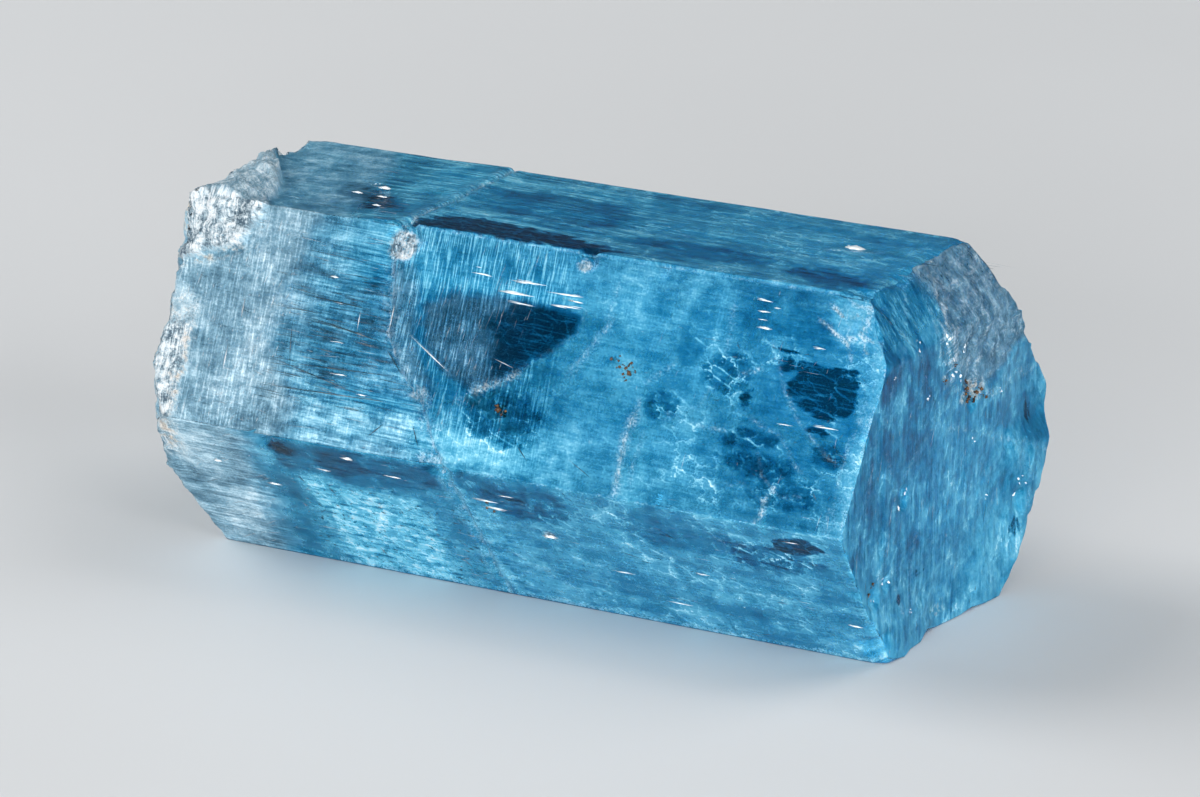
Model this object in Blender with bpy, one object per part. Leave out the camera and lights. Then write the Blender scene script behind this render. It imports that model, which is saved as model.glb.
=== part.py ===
"""Aquamarine crystal lying on one of its prism faces.

A single natural piece: a six-sided beryl prism with 120 degree angles and
unequal faces, a healed break that runs all the way round it, a chamfered
termination at +X and a rough broken end with a sugary corner at -X.

The crystal axis is parallel to X, the rest face lies in Z = 0, and the two
faces that are seen first look towards -Y. Dimensions below are millimetres.
"""
import bpy
import bmesh
from math import cos, sin, radians, hypot, exp
from mathutils import Vector, noise

MM = 0.001

# --- prism section: (name, direction of the outward normal, distance of the
# --- face from the crystal axis); directions are measured from +Y towards +Z
AXIS_Z = 10.0
PRISM_FACES = (
    ("top", 90.0, 10.00),
    ("upper_front", 150.0, 9.84),
    ("lower_front", 210.0, 11.18),
    ("rest", 270.0, 10.00),
    ("lower_back", 330.0, 10.13),
    ("upper_back", 30.0, 10.88),
)
REST = 3                      # index of the face that the crystal lies on
EDGE_BREAK = 0.28             # width lost to wear on each side of a long edge
STRIPS = 7                    # columns of faces across one prism face

# --- ends
RIGHT_X = 22.30               # termination, lower half
RIGHT_TILT = 0.075            # lean of its upper half
RIGHT_CHAMFER_Z = 17.5        # where the bevel under the top face begins
RIGHT_CHAMFER = 0.68          # slope of that bevel
LEFT_X = -23.05               # broken end at the height of the top face
LEFT_LEAN = 0.080             # how far it leans in towards the bottom, per mm
LEFT_TOE_Z = 3.2              # below this the broken end is cut back
LEFT_TOE = 0.34
CORE = 15.0                   # the end details are pushed towards (+-CORE, 0, AXIS_Z)

# --- healed break: where it crosses, as (position along the section, x); a
# --- position of 1.25 is a quarter of the way across face 1
BREAK_LINE = (
    (0.00, -8.9), (0.50, -8.8), (1.00, -9.0), (1.16, -9.1), (1.30, -8.5),
    (1.48, -8.2), (1.62, -6.9), (1.75, -4.9), (1.88, -3.9), (2.00, -2.8),
    (2.40, -2.1), (2.75, -1.7), (3.00, -1.3), (3.50, -2.6), (4.00, -3.9),
    (4.50, -6.0), (5.00, -6.9), (5.50, -8.3), (6.00, -8.9),
)
BREAK_DEPTH = 0.42
BREAK_HALF_WIDTH = 0.55
LEFT_BLOCK_DROP = 0.080       # slope of the top face's front edge left of it
LEFT_BLOCK_STEP = 0.16        # the left block sits this much lower on the sides

# --- sugary lump over the upper front corner of the broken end
LUMP_X = -18.2
LUMP_RISE = 0.45

# --- centre of the crystal's bounding box, which becomes X = Y = 0
CENTRE_X = -0.232
CENTRE_Y = -0.003

RINGS_LEFT = 11               # rings of faces between the broken end and the break
RINGS_RIGHT = 19              # rings of faces between the break and the termination
CAP_RINGS = 6


def clear_scene():
    for ob in list(bpy.data.objects):
        bpy.data.objects.remove(ob, do_unlink=True)


def smooth(a, b, t):
    t = min(1.0, max(0.0, (t - a) / (b - a)))
    return t * t * (3.0 - 2.0 * t)


def face_normal(k):
    a = radians(PRISM_FACES[k % 6][1])
    return cos(a), sin(a)


def corner(k):
    """Where face k - 1 meets face k, as (y, z)."""
    (ay, az), (by, bz) = face_normal(k - 1), face_normal(k)
    da, db = PRISM_FACES[(k - 1) % 6][2], PRISM_FACES[k % 6][2]
    det = ay * bz - az * by
    return (da * bz - db * az) / det, (ay * db - by * da) / det + AXIS_Z


def section_columns():
    """Points round the section: (position, y, z, normal y, normal z, face)."""
    columns = []
    for k in range(6):
        (y0, z0), (y1, z1) = corner(k), corner(k + 1)
        length = hypot(y1 - y0, z1 - z0)
        edge = EDGE_BREAK / length
        ny, nz = face_normal(k)
        for i in range(STRIPS + 1):
            t = edge + (1.0 - 2.0 * edge) * i / STRIPS
            columns.append((k + t, y0 + (y1 - y0) * t, z0 + (z1 - z0) * t, ny, nz, k))
    return columns


def break_x(position):
    for (p0, x0), (p1, x1) in zip(BREAK_LINE, BREAK_LINE[1:]):
        if position <= p1:
            return x0 + (x1 - x0) * (position - p0) / (p1 - p0)
    return BREAK_LINE[-1][1]


def side_offset(x, position, k):
    """Relief of the prism faces, along the face's outward normal."""
    if k == REST:
        return 0.0
    t = position - k
    from_rest = min(abs(position - 3.0), abs(position - 4.0))
    near_rest = smooth(0.0, 0.35, from_rest)
    gap = x - break_x(position)
    d = -BREAK_DEPTH * max(0.0, 1.0 - abs(gap) / BREAK_HALF_WIDTH)
    if gap < 0.0:
        if k == 0:
            d += LEFT_BLOCK_DROP * t * gap
        elif k == 1:
            d -= LEFT_BLOCK_STEP
        else:
            d -= 0.5 * LEFT_BLOCK_STEP
    lump = smooth(LUMP_X, LUMP_X - 1.2, x + 3.5 * abs(position - 1.0))
    if k in (0, 1):
        d += LUMP_RISE * lump
    return d * near_rest


def right_end(y, z):
    """X of the termination above the section point (y, z)."""
    x = RIGHT_X + 0.030 * y
    x = min(x, RIGHT_X + 0.5 - RIGHT_TILT * (z - 8.0))
    x = min(x, RIGHT_X - 0.62 - RIGHT_CHAMFER * (z - RIGHT_CHAMFER_Z))
    # shell-shaped bite out of the back corner
    bite = 1.0 - hypot(y - 9.6, z - 11.2) / 3.6
    x -= 0.55 * max(0.0, bite)
    # shallow broken patch above it
    patch = smooth(5.2, 3.2, hypot(y - 6.5, z - 16.0))
    x -= patch * (0.20 + 0.22 * noise.noise(Vector((y * 0.55, z * 0.55, 3.1))))
    # step near the rest face
    x -= 0.40 * smooth(-1.9, -1.4, y) * smooth(3.6, -1.4, y) * smooth(4.5, 1.0, z)
    return x


def left_end(y, z):
    """X of the broken end above the section point (y, z)."""
    x = LEFT_X + LEFT_LEAN * (HEIGHT - z)
    x += LEFT_TOE * max(0.0, LEFT_TOE_Z - z)
    x += 0.40 * noise.fractal(Vector((7.0, y * 0.22, z * 0.22)), 1.0, 2.0, 3)
    return x


HEIGHT = AXIS_Z + PRISM_FACES[0][2]


def surface_point(x, column):
    position, y, z, ny, nz, k = column
    d = side_offset(x, position, k)
    return Vector((x, y + ny * d, z + nz * d))


def end_of_column(column, end, start):
    """Slide a column out to the end surface; a few steps settle it."""
    x = start
    for _ in range(6):
        p = surface_point(x, column)
        x = end(p.y, p.z)
    return x


# Flat chips off the rims: (x of the point that is cut down to, y, z, normal)
CHIPS = (
    (21.2, -6.1, 18.9, (0.62, -0.45, 0.64)),
    (21.9, -11.8, 8.8, (0.72, -0.68, 0.05)),
    (22.1, -7.1, 0.25, (0.72, -0.42, -0.55)),
    (20.9, 7.0, 19.0, (0.60, 0.45, 0.66)),
    (-22.3, -7.0, 19.2, (-0.70, -0.42, 0.58)),
    (-21.4, -11.6, 8.6, (-0.72, -0.69, 0.02)),
    (-20.7, -7.3, 0.9, (-0.74, -0.38, -0.55)),
    (-22.0, 7.0, 19.0, (-0.72, 0.36, 0.58)),
    (-21.3, 11.6, 10.6, (-0.72, 0.69, 0.02)),
)


def chip(p):
    core = Vector((max(-CORE, min(CORE, p.x)), 0.0, AXIS_Z))
    ray = p - core
    for x, y, z, n in CHIPS:
        normal = Vector(n).normalized()
        if normal.x * p.x < 0.0:
            continue
        reach = normal.dot(ray)
        room = normal.dot(Vector((x, y, z)) - core)
        if reach > room > 0.0:
            ray = ray * (room / reach)
    return core + ray


def roughen(p, on_rest):
    """Crumbled rim and grain of the broken end; nothing on the prism faces."""
    core = Vector((max(-CORE, min(CORE, p.x)), 0.0, AXIS_Z))
    ray = p - core
    left = smooth(-20.2, -21.6, p.x + 0.06 * (p.z - 10.0))
    n = noise.noise(p * 0.9) * 0.30 + noise.noise(p * 2.1) * 0.14
    if not on_rest:
        p = core + ray * (1.0 + left * n / max(ray.length, 1.0))
    return p


def build_mesh():
    columns = section_columns()
    right = [end_of_column(c, right_end, RIGHT_X) for c in columns]
    left = [end_of_column(c, left_end, LEFT_X) for c in columns]

    rings = []
    for i in range(RINGS_LEFT + 1):
        rings.append([(x0, break_x(c[0]) - BREAK_HALF_WIDTH, i / RINGS_LEFT)
                      for c, x0 in zip(columns, left)])
    rings.append([(break_x(c[0]), break_x(c[0]), 0.0) for c in columns])
    for i in range(RINGS_RIGHT + 1):
        rings.append([(break_x(c[0]) + BREAK_HALF_WIDTH, x1, i / RINGS_RIGHT)
                      for c, x1 in zip(columns, right)])

    bm = bmesh.new()

    def add(p, on_rest=False):
        p = roughen(chip(p), on_rest)
        if on_rest and p.z < 1e-6:
            p.z = 0.0
        p.z = max(p.z, 0.0)
        return bm.verts.new((p - Vector((CENTRE_X, CENTRE_Y, 0.0))) * MM)

    def skin(a, b):
        for i in range(len(a)):
            j = (i + 1) % len(a)
            bm.faces.new((a[i], a[j], b[j], b[i]))

    # the prism, ring after ring along the axis
    loops = []
    for ring in rings:
        loop = []
        for column, (xa, xb, t) in zip(columns, ring):
            p = surface_point(xa + (xb - xa) * t, column)
            loop.append(add(p, column[5] == REST))
        loops.append(loop)
    for a, b in zip(loops, loops[1:]):
        skin(a, b)

    # both ends, ring inside ring
    for end, xs, outer in ((right_end, right, loops[-1]), (left_end, left, loops[0])):
        rim = [surface_point(x, c) for x, c in zip(xs, columns)]
        before = outer
        for i in range(1, CAP_RINGS):
            u = 1.0 - i / CAP_RINGS
            loop = []
            for p in rim:
                y, z = p.y * u, AXIS_Z + (p.z - AXIS_Z) * u
                loop.append(add(Vector((end(y, z), y, z))))
            skin(before, loop)
            before = loop
        middle = add(Vector((end(0.0, AXIS_Z), 0.0, AXIS_Z)))
        for i in range(len(before)):
            bm.faces.new((before[i], before[(i + 1) % len(before)], middle))

    bmesh.ops.recalc_face_normals(bm, faces=bm.faces)
    # the rest face is one flat facet
    flat = [f for f in bm.faces if all(v.co.z < 1e-9 for v in f.verts)]
    bmesh.ops.dissolve_faces(bm, faces=flat, use_verts=False)
    bmesh.ops.triangulate(bm, faces=bm.faces, quad_method="SHORT_EDGE", ngon_method="BEAUTY")
    bmesh.ops.recalc_face_normals(bm, faces=bm.faces)

    mesh = bpy.data.meshes.new("aquamarine_crystal")
    bm.to_mesh(mesh)
    bm.free()
    return mesh


def beryl_material():
    mat = bpy.data.materials.new("beryl")
    mat.use_nodes = True
    shader = mat.node_tree.nodes["Principled BSDF"]
    shader.inputs["Base Color"].default_value = (0.11, 0.40, 0.62, 1.0)
    shader.inputs["Roughness"].default_value = 0.12
    shader.inputs["Metallic"].default_value = 0.0
    shader.inputs["IOR"].default_value = 1.577
    shader.inputs["Transmission Weight"].default_value = 0.85
    mat.diffuse_color = (0.11, 0.40, 0.62, 1.0)
    return mat


def main():
    clear_scene()
    crystal = bpy.data.objects.new("aquamarine_crystal", build_mesh())
    crystal.data.materials.append(beryl_material())
    bpy.context.scene.collection.objects.link(crystal)


main()
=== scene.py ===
"""Looks of the aquamarine crystal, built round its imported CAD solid.

Lengths inside the modelling functions are millimetres in the crystal's own
section frame (axis at Y = 0, Z = 10); they become metres in the row's frame
when a mesh is written.
"""
import math
import bpy
import numpy as np
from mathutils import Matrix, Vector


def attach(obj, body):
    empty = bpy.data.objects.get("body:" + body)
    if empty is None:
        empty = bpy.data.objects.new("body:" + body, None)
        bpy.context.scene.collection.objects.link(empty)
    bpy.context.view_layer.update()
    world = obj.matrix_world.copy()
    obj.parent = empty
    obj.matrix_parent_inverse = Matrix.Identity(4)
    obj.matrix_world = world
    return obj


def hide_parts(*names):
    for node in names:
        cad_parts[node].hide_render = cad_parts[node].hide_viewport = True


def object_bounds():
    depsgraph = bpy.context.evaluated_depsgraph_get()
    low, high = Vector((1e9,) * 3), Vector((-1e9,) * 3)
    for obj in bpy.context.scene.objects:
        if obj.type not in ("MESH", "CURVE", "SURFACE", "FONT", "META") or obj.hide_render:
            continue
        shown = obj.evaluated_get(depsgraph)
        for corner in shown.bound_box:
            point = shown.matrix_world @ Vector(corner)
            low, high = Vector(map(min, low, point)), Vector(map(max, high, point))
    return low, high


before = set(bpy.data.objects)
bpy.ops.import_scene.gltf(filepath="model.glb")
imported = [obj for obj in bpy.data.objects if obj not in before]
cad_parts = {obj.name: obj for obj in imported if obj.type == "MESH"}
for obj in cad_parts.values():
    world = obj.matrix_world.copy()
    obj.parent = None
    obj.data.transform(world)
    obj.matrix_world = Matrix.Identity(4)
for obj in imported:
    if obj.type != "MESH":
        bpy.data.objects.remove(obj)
CAD_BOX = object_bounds()

MM = 0.001
CENTRE = np.array([-0.232, -0.003, 0.0])

# ---------------------------------------------------------------------------
# noise, vectorised
# ---------------------------------------------------------------------------


def _hash(ix, iy, iz, seed):
    with np.errstate(over="ignore"):
        h = (ix.astype(np.int64) & 0xFFFFFFFF).astype(np.uint32) * np.uint32(0x8DA6B343)
        h ^= (iy.astype(np.int64) & 0xFFFFFFFF).astype(np.uint32) * np.uint32(0xD8163841)
        h ^= (iz.astype(np.int64) & 0xFFFFFFFF).astype(np.uint32) * np.uint32(0xCB1AB31F)
        h ^= np.uint32((seed * 2654435761) & 0xFFFFFFFF)
        h ^= h >> np.uint32(15)
        h *= np.uint32(0x85EBCA6B)
        h ^= h >> np.uint32(13)
        h *= np.uint32(0xC2B2AE35)
        h ^= h >> np.uint32(16)
    return h


def perlin(x, y, z, seed=0):
    x, y, z = np.broadcast_arrays(np.asarray(x, float), np.asarray(y, float), np.asarray(z, float))
    ix, iy, iz = np.floor(x), np.floor(y), np.floor(z)
    fx, fy, fz = x - ix, y - iy, z - iz
    ux, uy, uz = (f * f * f * (f * (f * 6 - 15) + 10) for f in (fx, fy, fz))
    out = 0.0
    for dx in (0, 1):
        wx = ux if dx else 1 - ux
        for dy in (0, 1):
            wy = uy if dy else 1 - uy
            for dz in (0, 1):
                wz = uz if dz else 1 - uz
                h = _hash(ix + dx, iy + dy, iz + dz, seed)
                gx = (h & np.uint32(1023)).astype(float) / 511.5 - 1
                gy = ((h >> np.uint32(10)) & np.uint32(1023)).astype(float) / 511.5 - 1
                gz = ((h >> np.uint32(20)) & np.uint32(1023)).astype(float) / 511.5 - 1
                out = out + wx * wy * wz * (gx * (fx - dx) + gy * (fy - dy) + gz * (fz - dz))
    return out * 1.25


def fbm(x, y, z, seed=0, octaves=4, gain=0.5):
    total, amp, f, norm = 0.0, 1.0, 1.0, 0.0
    for i in range(octaves):
        total = total + amp * perlin(np.asarray(x) * f, np.asarray(y) * f, np.asarray(z) * f, seed + 17 * i)
        norm += amp
        amp *= gain
        f *= 2.03
    return total / norm


def cells(x, y, z, seed=0):
    """Distance to the nearest and the second nearest of a jittered grid of points, and a value for the nearest."""
    x, y, z = np.broadcast_arrays(np.asarray(x, float), np.asarray(y, float), np.asarray(z, float))
    ix, iy, iz = np.floor(x), np.floor(y), np.floor(z)
    d1 = np.full(x.shape, 9.0)
    d2 = np.full(x.shape, 9.0)
    value = np.zeros(x.shape)
    for dx in (-1, 0, 1):
        for dy in (-1, 0, 1):
            for dz in (-1, 0, 1):
                h = _hash(ix + dx, iy + dy, iz + dz, seed)
                px = ix + dx + (h & np.uint32(1023)).astype(float) / 1023
                py = iy + dy + ((h >> np.uint32(10)) & np.uint32(1023)).astype(float) / 1023
                pz = iz + dz + ((h >> np.uint32(20)) & np.uint32(1023)).astype(float) / 1023
                d = np.sqrt((x - px) ** 2 + (y - py) ** 2 + (z - pz) ** 2)
                near = d < d1
                d2 = np.where(near, d1, np.minimum(d2, d))
                value = np.where(near, (h >> np.uint32(7) & np.uint32(255)).astype(float) / 255, value)
                d1 = np.where(near, d, d1)
    return d1, d2, value


def unit(v):
    return v / np.maximum(np.linalg.norm(v, axis=-1, keepdims=True), 1e-9)


def smooth(a, b, t):
    t = np.clip((np.asarray(t, float) - a) / (b - a), 0.0, 1.0)
    return t * t * (3 - 2 * t)


def steps(u, seed, width=0.12):
    """Terraces of random height along u, one per unit, with short risers."""
    i = np.floor(u)
    f = u - i
    zero = np.zeros_like(i)
    a = _hash(i, zero, zero, seed).astype(float) / 4294967295.0
    b = _hash(i + 1, zero, zero, seed).astype(float) / 4294967295.0
    return a + (b - a) * smooth(1 - width, 1, f) - 0.5


def rand(i, seed):
    i = np.asarray(i, float)
    return _hash(i, np.zeros_like(i), np.zeros_like(i), seed).astype(float) / 4294967295.0


def blob(x, s, cx, cs, rx, rs, turn=0.0, ragged=0.25, seed=1):
    """1 inside a ragged ellipse on a face, 0 outside."""
    a = math.radians(turn)
    dx, ds = x - cx, s - cs
    p = (dx * math.cos(a) + ds * math.sin(a)) / rx
    q = (-dx * math.sin(a) + ds * math.cos(a)) / rs
    r = np.sqrt(p * p + q * q) + ragged * fbm(x * 0.9, s * 0.9, 0.0, seed, 3)
    return smooth(1.12, 0.80, r)


def line_distance(x, s, points):
    """Distance to a polyline on a face, and how far along it (0 to 1)."""
    best = np.full(np.shape(x), 99.0)
    along = np.zeros(np.shape(x))
    n = len(points) - 1
    for i, ((x0, s0), (x1, s1)) in enumerate(zip(points, points[1:])):
        vx, vs = x1 - x0, s1 - s0
        t = np.clip(((x - x0) * vx + (s - s0) * vs) / (vx * vx + vs * vs), 0, 1)
        d = np.hypot(x - x0 - t * vx, s - s0 - t * vs)
        near = d < best
        along = np.where(near, (i + t) / n, along)
        best = np.where(near, d, best)
    return best, along


# ---------------------------------------------------------------------------
# the prism, as in the CAD model
# ---------------------------------------------------------------------------
AXIS_Z = 10.0
TOP, FRONT, UNDER, REST, BACK_LOW, BACK_HIGH = range(6)
FACE_DIR = (90.0, 150.0, 210.0, 270.0, 330.0, 30.0)
FACE_DIST = (10.00, 9.84, 11.18, 10.00, 10.13, 10.88)
HEIGHT = 20.0
NORMALS = np.array([[math.cos(math.radians(a)), math.sin(math.radians(a))] for a in FACE_DIR])
CORE = 15.0

BREAK_LINE = np.array([
    (0.00, -8.9), (0.50, -8.8), (1.00, -9.0), (1.16, -9.1), (1.30, -8.5),
    (1.48, -8.2), (1.62, -6.9), (1.75, -4.9), (1.88, -3.9), (2.00, -2.8),
    (2.40, -2.1), (2.75, -1.7), (3.00, -1.3), (3.50, -2.6), (4.00, -3.9),
    (4.50, -6.0), (5.00, -6.9), (5.50, -8.3), (6.00, -8.9)])


def corner(k):
    a, b = NORMALS[(k - 1) % 6], NORMALS[k % 6]
    da, db = FACE_DIST[(k - 1) % 6], FACE_DIST[k % 6]
    det = a[0] * b[1] - a[1] * b[0]
    return np.array([(da * b[1] - db * a[1]) / det, (a[0] * db - b[0] * da) / det + AXIS_Z])


CORNERS = [corner(k) for k in range(7)]
WIDTHS = [float(np.linalg.norm(CORNERS[k + 1] - CORNERS[k])) for k in range(6)]


def break_x(pos):
    return np.interp(pos, BREAK_LINE[:, 0], BREAK_LINE[:, 1])


def right_end(y, z, detail=True):
    """X of the termination."""
    x = 22.30 + 0.030 * y
    x = np.minimum(x, 22.80 - 0.075 * (z - 8.0))
    x = np.minimum(x, 21.68 - 0.68 * (z - 17.5))
    bite = 1.0 - np.hypot(y - 9.6, z - 11.2) / 3.6
    x = x - 0.50 * np.maximum(0.0, bite) ** 0.8
    x = x - 0.40 * smooth(-1.9, -1.4, y) * smooth(3.6, -1.4, y) * smooth(4.5, 1.0, z)
    x = x + 0.32 * smooth(5.0, 0.5, z) * (smooth(1.5, 4.0, y) + smooth(-4.0, -5.5, y)) + 0.55 * smooth(5.5, 9.5, y) * smooth(9.8, 7.6, z)
    if not detail:
        return x
    patch = broken_patch(y, z)
    rough = fbm(y * 0.9, z * 0.9, 4.0, 21, 4)
    d1, d2, v = cells(y * 0.75 + 0.3 * rough, z * 0.95, 0.5, 22)
    x = x - patch * (0.16 + 0.30 * rough + 0.22 * (v - 0.5) + 0.10 * (1 - smooth(0, 0.12, d2 - d1)))
    # silky ribs, almost upright, and two shallow shell-shaped steps
    rib = fbm(y * 1.1 + 0.25 * z, z * 0.16, 1.0, 23, 3)
    x = x + (1 - patch) * 0.030 * rib
    r1 = np.hypot((y - 8.2) / 1.0, (z - 3.2) / 1.05) + 0.35 * fbm(y * 0.4, z * 0.4, 2.0, 24, 2)
    x = x - 0.10 * smooth(7.2, 6.7, r1) + 0.02 * np.sin(r1 * 5.0) * smooth(9.5, 6.5, r1)
    r2 = np.hypot((y + 14.5) / 1.0, (z - 9.5) / 1.6) + 0.4 * fbm(y * 0.35, z * 0.35, 2.0, 25, 2)
    x = x - 0.09 * smooth(7.2, 6.8, r2)
    x = x - 0.05 * np.abs(fbm(y * 0.5, z * 0.5, 7.0, 26, 3))
    for cy, cz, r, h in ((-5.4, 9.0, 0.55, 0.22), (-8.5, 4.3, 0.5, 0.30), (-7.2, 4.7, 0.35, 0.25), (7.9, 5.0, 0.5, 0.28),
                         (8.6, 7.4, 0.6, 0.18), (-1.1, 1.3, 0.55, 0.30), (2.6, 12.7, 0.7, 0.25), (-3.1, 2.6, 0.45, 0.2),
                         (-9.5, 17.0, 0.7, 0.2), (7.0, 8.8, 0.5, 0.2), (9.2, 3.4, 0.5, 0.25)):
        r_ = np.hypot(y - cy, (z - cz) * 0.7) / r + 0.4 * fbm(y * 2, z * 2, cy, 27, 2)
        x = x - h * smooth(1.1, 0.6, r_)
    return x


def broken_patch(y, z):
    """Rough grey patch in the termination's upper back corner."""
    edge = 0.9 * fbm(y * 0.45, z * 0.45, 1.0, 31, 3)
    left = smooth(0.2, 2.0, y + 0.26 * (z - 12.0) - 0.8 + 1.4 * edge)
    low = smooth(12.6, 13.3, z - 0.9 * smooth(5.0, 8.5, y) + edge)
    return left * low


def left_end(y, z, detail=True):
    """X of the broken end."""
    x = -23.05 + 0.060 * (HEIGHT - z) + 0.34 * np.maximum(0.0, 3.2 - z)
    if not detail:
        return x
    x = x + 0.35 * fbm(y * 0.2, z * 0.2, 7.0, 41, 3)
    warp = fbm(y * 0.5, z * 0.5, 3.0, 42, 3)
    d1, d2, v = cells(y * 0.42 + 0.5 * warp, z * 0.5 - 0.4 * warp, 1.0, 43)
    x = x + 0.55 * (v - 0.5) + 0.18 * d1
    e1, e2, w = cells(y * 1.3, z * 1.3, 2.0, 44)
    return x + 0.22 * (w - 0.5) + 0.16 * fbm(y * 1.4, z * 1.4, 5.0, 45, 4)


def lump_mask(x, s, k):
    """Sugary white mass over the upper front corner of the broken end."""
    wob = 0.9 * fbm(x * 0.5, s * 0.5 + 9 * k, 0.0, 51, 3)
    if k == TOP:                      # s runs from the back edge to the front edge
        limit = np.interp(s, [0.0, 4.6, 8.8, 12.4], [-24.5, -22.4, -19.2, -18.0])
        return smooth(0.25, -0.25, x - limit - wob)
    if k == FRONT:
        limit = np.interp(s, [0.0, 1.0, 2.6, 3.6, 4.6], [-18.0, -18.1, -19.0, -21.6, -25.0])
        return smooth(0.25, -0.25, x - limit - 0.7 * wob)
    return np.zeros_like(x)


def break_gap(x, pos, k):
    """Signed distance from the healed break, in mm along the axis, with its fine jags."""
    p = pos * 12.0
    jag = 0.34 * fbm(p * 0.35, 0.0, 0.0, 61, 2) + 0.20 * fbm(p * 1.3, 0.0, 0.0, 62, 3)
    return x - break_x(pos) - jag


def side_offset(x, s, pos, k, dist_edge):
    """Relief of prism face k along its outward normal."""
    if k == REST:
        return np.zeros_like(x)
    t = s / WIDTHS[k]
    gap = break_gap(x, pos, k)
    wide = {TOP: 0.13, FRONT: 0.15, UNDER: 0.20}.get(k, 0.24)
    depth = {TOP: 0.22, FRONT: 0.13, UNDER: 0.18}.get(k, 0.26)
    depth = depth * (0.75 + 0.6 * fbm(pos * 9.0, 0.0, 0.0, 63, 2))
    d = -depth * np.exp(-(gap / wide) ** 2)
    d = d + 0.03 * np.exp(-((np.abs(gap) - 0.45) / 0.22) ** 2)
    left = gap < 0
    if k == BACK_LOW:
        d = d + 1.0 * np.sin(np.pi * np.clip(t, 0, 1)) * smooth(6.0, 19.0, x)
    if k == TOP:
        d = d + 0.10
        d = d + np.where(left, 0.080 * t * gap, 0.0)
        d = d + np.where(left, 0.10 * smooth(4.0, 0.0, s) * smooth(-14, -10, x), 0.0)
    elif k == FRONT:
        d = d - 0.16 * smooth(0.25, -0.25, gap)
    else:
        d = d - 0.08 * smooth(0.25, -0.25, gap)
    # growth terraces: long bands that step down across the face
    bend = 0.5 * fbm(x * 0.07, s * 0.2, k, 64, 2)
    amp = {TOP: 0.035, FRONT: 0.028, UNDER: 0.032, BACK_LOW: 0.035, BACK_HIGH: 0.035}[k] * (1 - 0.75 * smooth(17.5, 20.5, x))
    d = d + amp * steps(s * 0.95 + bend * 1.6 + 3 * k, 65 + k)
    d = d + 0.6 * amp * steps(s * 2.6 + 2.2 * fbm(x * 0.12, s * 0.3, k + 4, 66, 2) + 5 * k, 75 + k)
    # and steps across it
    d = d + 0.5 * amp * steps(x * 0.22 + 1.1 * fbm(x * 0.1, s * 0.25, k + 9, 67, 2) + k, 85 + k, 0.05)
    d = d + 0.020 * fbm(x * 0.16, s * 0.30, k + 2, 68, 3)
    # etch pits
    d1, d2, v = cells(x * 0.45, s * 1.6, 0.3 + k, 90 + k)
    d = d - 0.03 * smooth(0.22, 0.12, d1) * (v > 0.6)
    # the lump stands proud of the faces, with a crease round it
    m = lump_mask(x, s, k)
    warp = 0.55 * fbm(x * 0.9, s * 0.9, k + 3.0, 94, 3)
    c1, c2, cv = cells(x * 0.95 + warp, s * 1.15 - warp, k + 0.2, 95)
    grain = 0.30 * (cv - 0.5) + 0.34 * fbm(x * 0.9, s * 0.9, k, 96, 5, 0.62) - 0.20 * smooth(0.10, 0.0, c2 - c1)
    swell = {TOP: 0.95 * smooth(-18.8, -21.0, x) * smooth(1.5, 5.5, s), FRONT: 0.10}.get(k, 0.0)
    d = d + m * (0.46 + swell + grain) - 0.16 * np.exp(-((m - 0.45) / 0.22) ** 2)
    # frosted end: hummocky
    fr = frost_mask(x, s, pos, k) * (1 - m)
    d = d + fr * (0.05 * fbm(x * 1.3, s * 1.3, k, 97, 4) + 0.025 * fbm(x * 0.8, s * 6.0, k, 98, 2))
    # chips along the edges and at the break
    for kk, cx, cs, r, h in SURFACE_CHIPS:
        if kk == k:
            rr = np.hypot(x - cx, s - cs) / r + 0.35 * fbm(x * 1.7, s * 1.7, cx, 99, 3)
            bits = cells(x * 2.1, s * 2.1, cx, 100)
            d = d - h * smooth(1.05, 0.75, rr) * (0.55 + 0.9 * bits[2])
    near_rest = smooth(0.0, 0.35, np.where(k == UNDER, WIDTHS[k] - s, np.where(k == BACK_LOW, s, 9.0)))
    return d * near_rest


SURFACE_CHIPS = (
    (FRONT, -8.7, 0.9, 1.15, 0.34), (TOP, -8.8, 12.2, 0.8, 0.25),
    (FRONT, 2.85, 0.35, 0.65, 0.22), (TOP, 2.85, 12.25, 0.5, 0.20),
    (FRONT, -5.1, 9.4, 0.75, 0.14), (FRONT, -3.4, 13.0, 0.8, 0.20), (UNDER, -3.0, 0.2, 0.8, 0.18),
    (FRONT, 19.4, 0.5, 1.4, 0.20), (TOP, 19.2, 12.1, 0.9, 0.16),
    (UNDER, -14.6, 0.3, 0.7, 0.22), (FRONT, -15.2, 12.9, 0.5, 0.15),
    (UNDER, 2.9, 4.3, 0.35, 0.12), (FRONT, 11.0, 12.9, 0.5, 0.12), (FRONT, 7.5, 0.2, 0.45, 0.12),
    (TOP, 15.2, 4.6, 0.7, 0.05), (BACK_HIGH, 4.0, 10.4, 0.9, 0.2), (BACK_HIGH, -7.6, 3.0, 0.9, 0.25),
    (BACK_LOW, 12.0, 0.3, 1.1, 0.25), (BACK_LOW, -6.0, 6.0, 1.0, 0.22), (BACK_HIGH, 12.5, 0.3, 0.7, 0.2),
)


def frost_mask(x, s, pos, k):
    """Frosted, finely etched skin towards the broken end."""
    wob = 1.6 * fbm(x * 0.25, s * 0.4, k, 101, 3)
    limit = {TOP: -19.5, FRONT: -15.0, UNDER: -15.6, REST: -17.0, BACK_LOW: -17.0, BACK_HIGH: -16.5}[k]
    lim = np.full_like(x, limit)
    if k == FRONT:
        lim = np.interp(s, [0, 2, 4, 7, 9.5, 11, 13.1], [-13.5, -14.0, -14.6, -15.2, -14.0, -12.0, -13.0])
    return smooth(1.6, -1.6, x - lim - wob)


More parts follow.
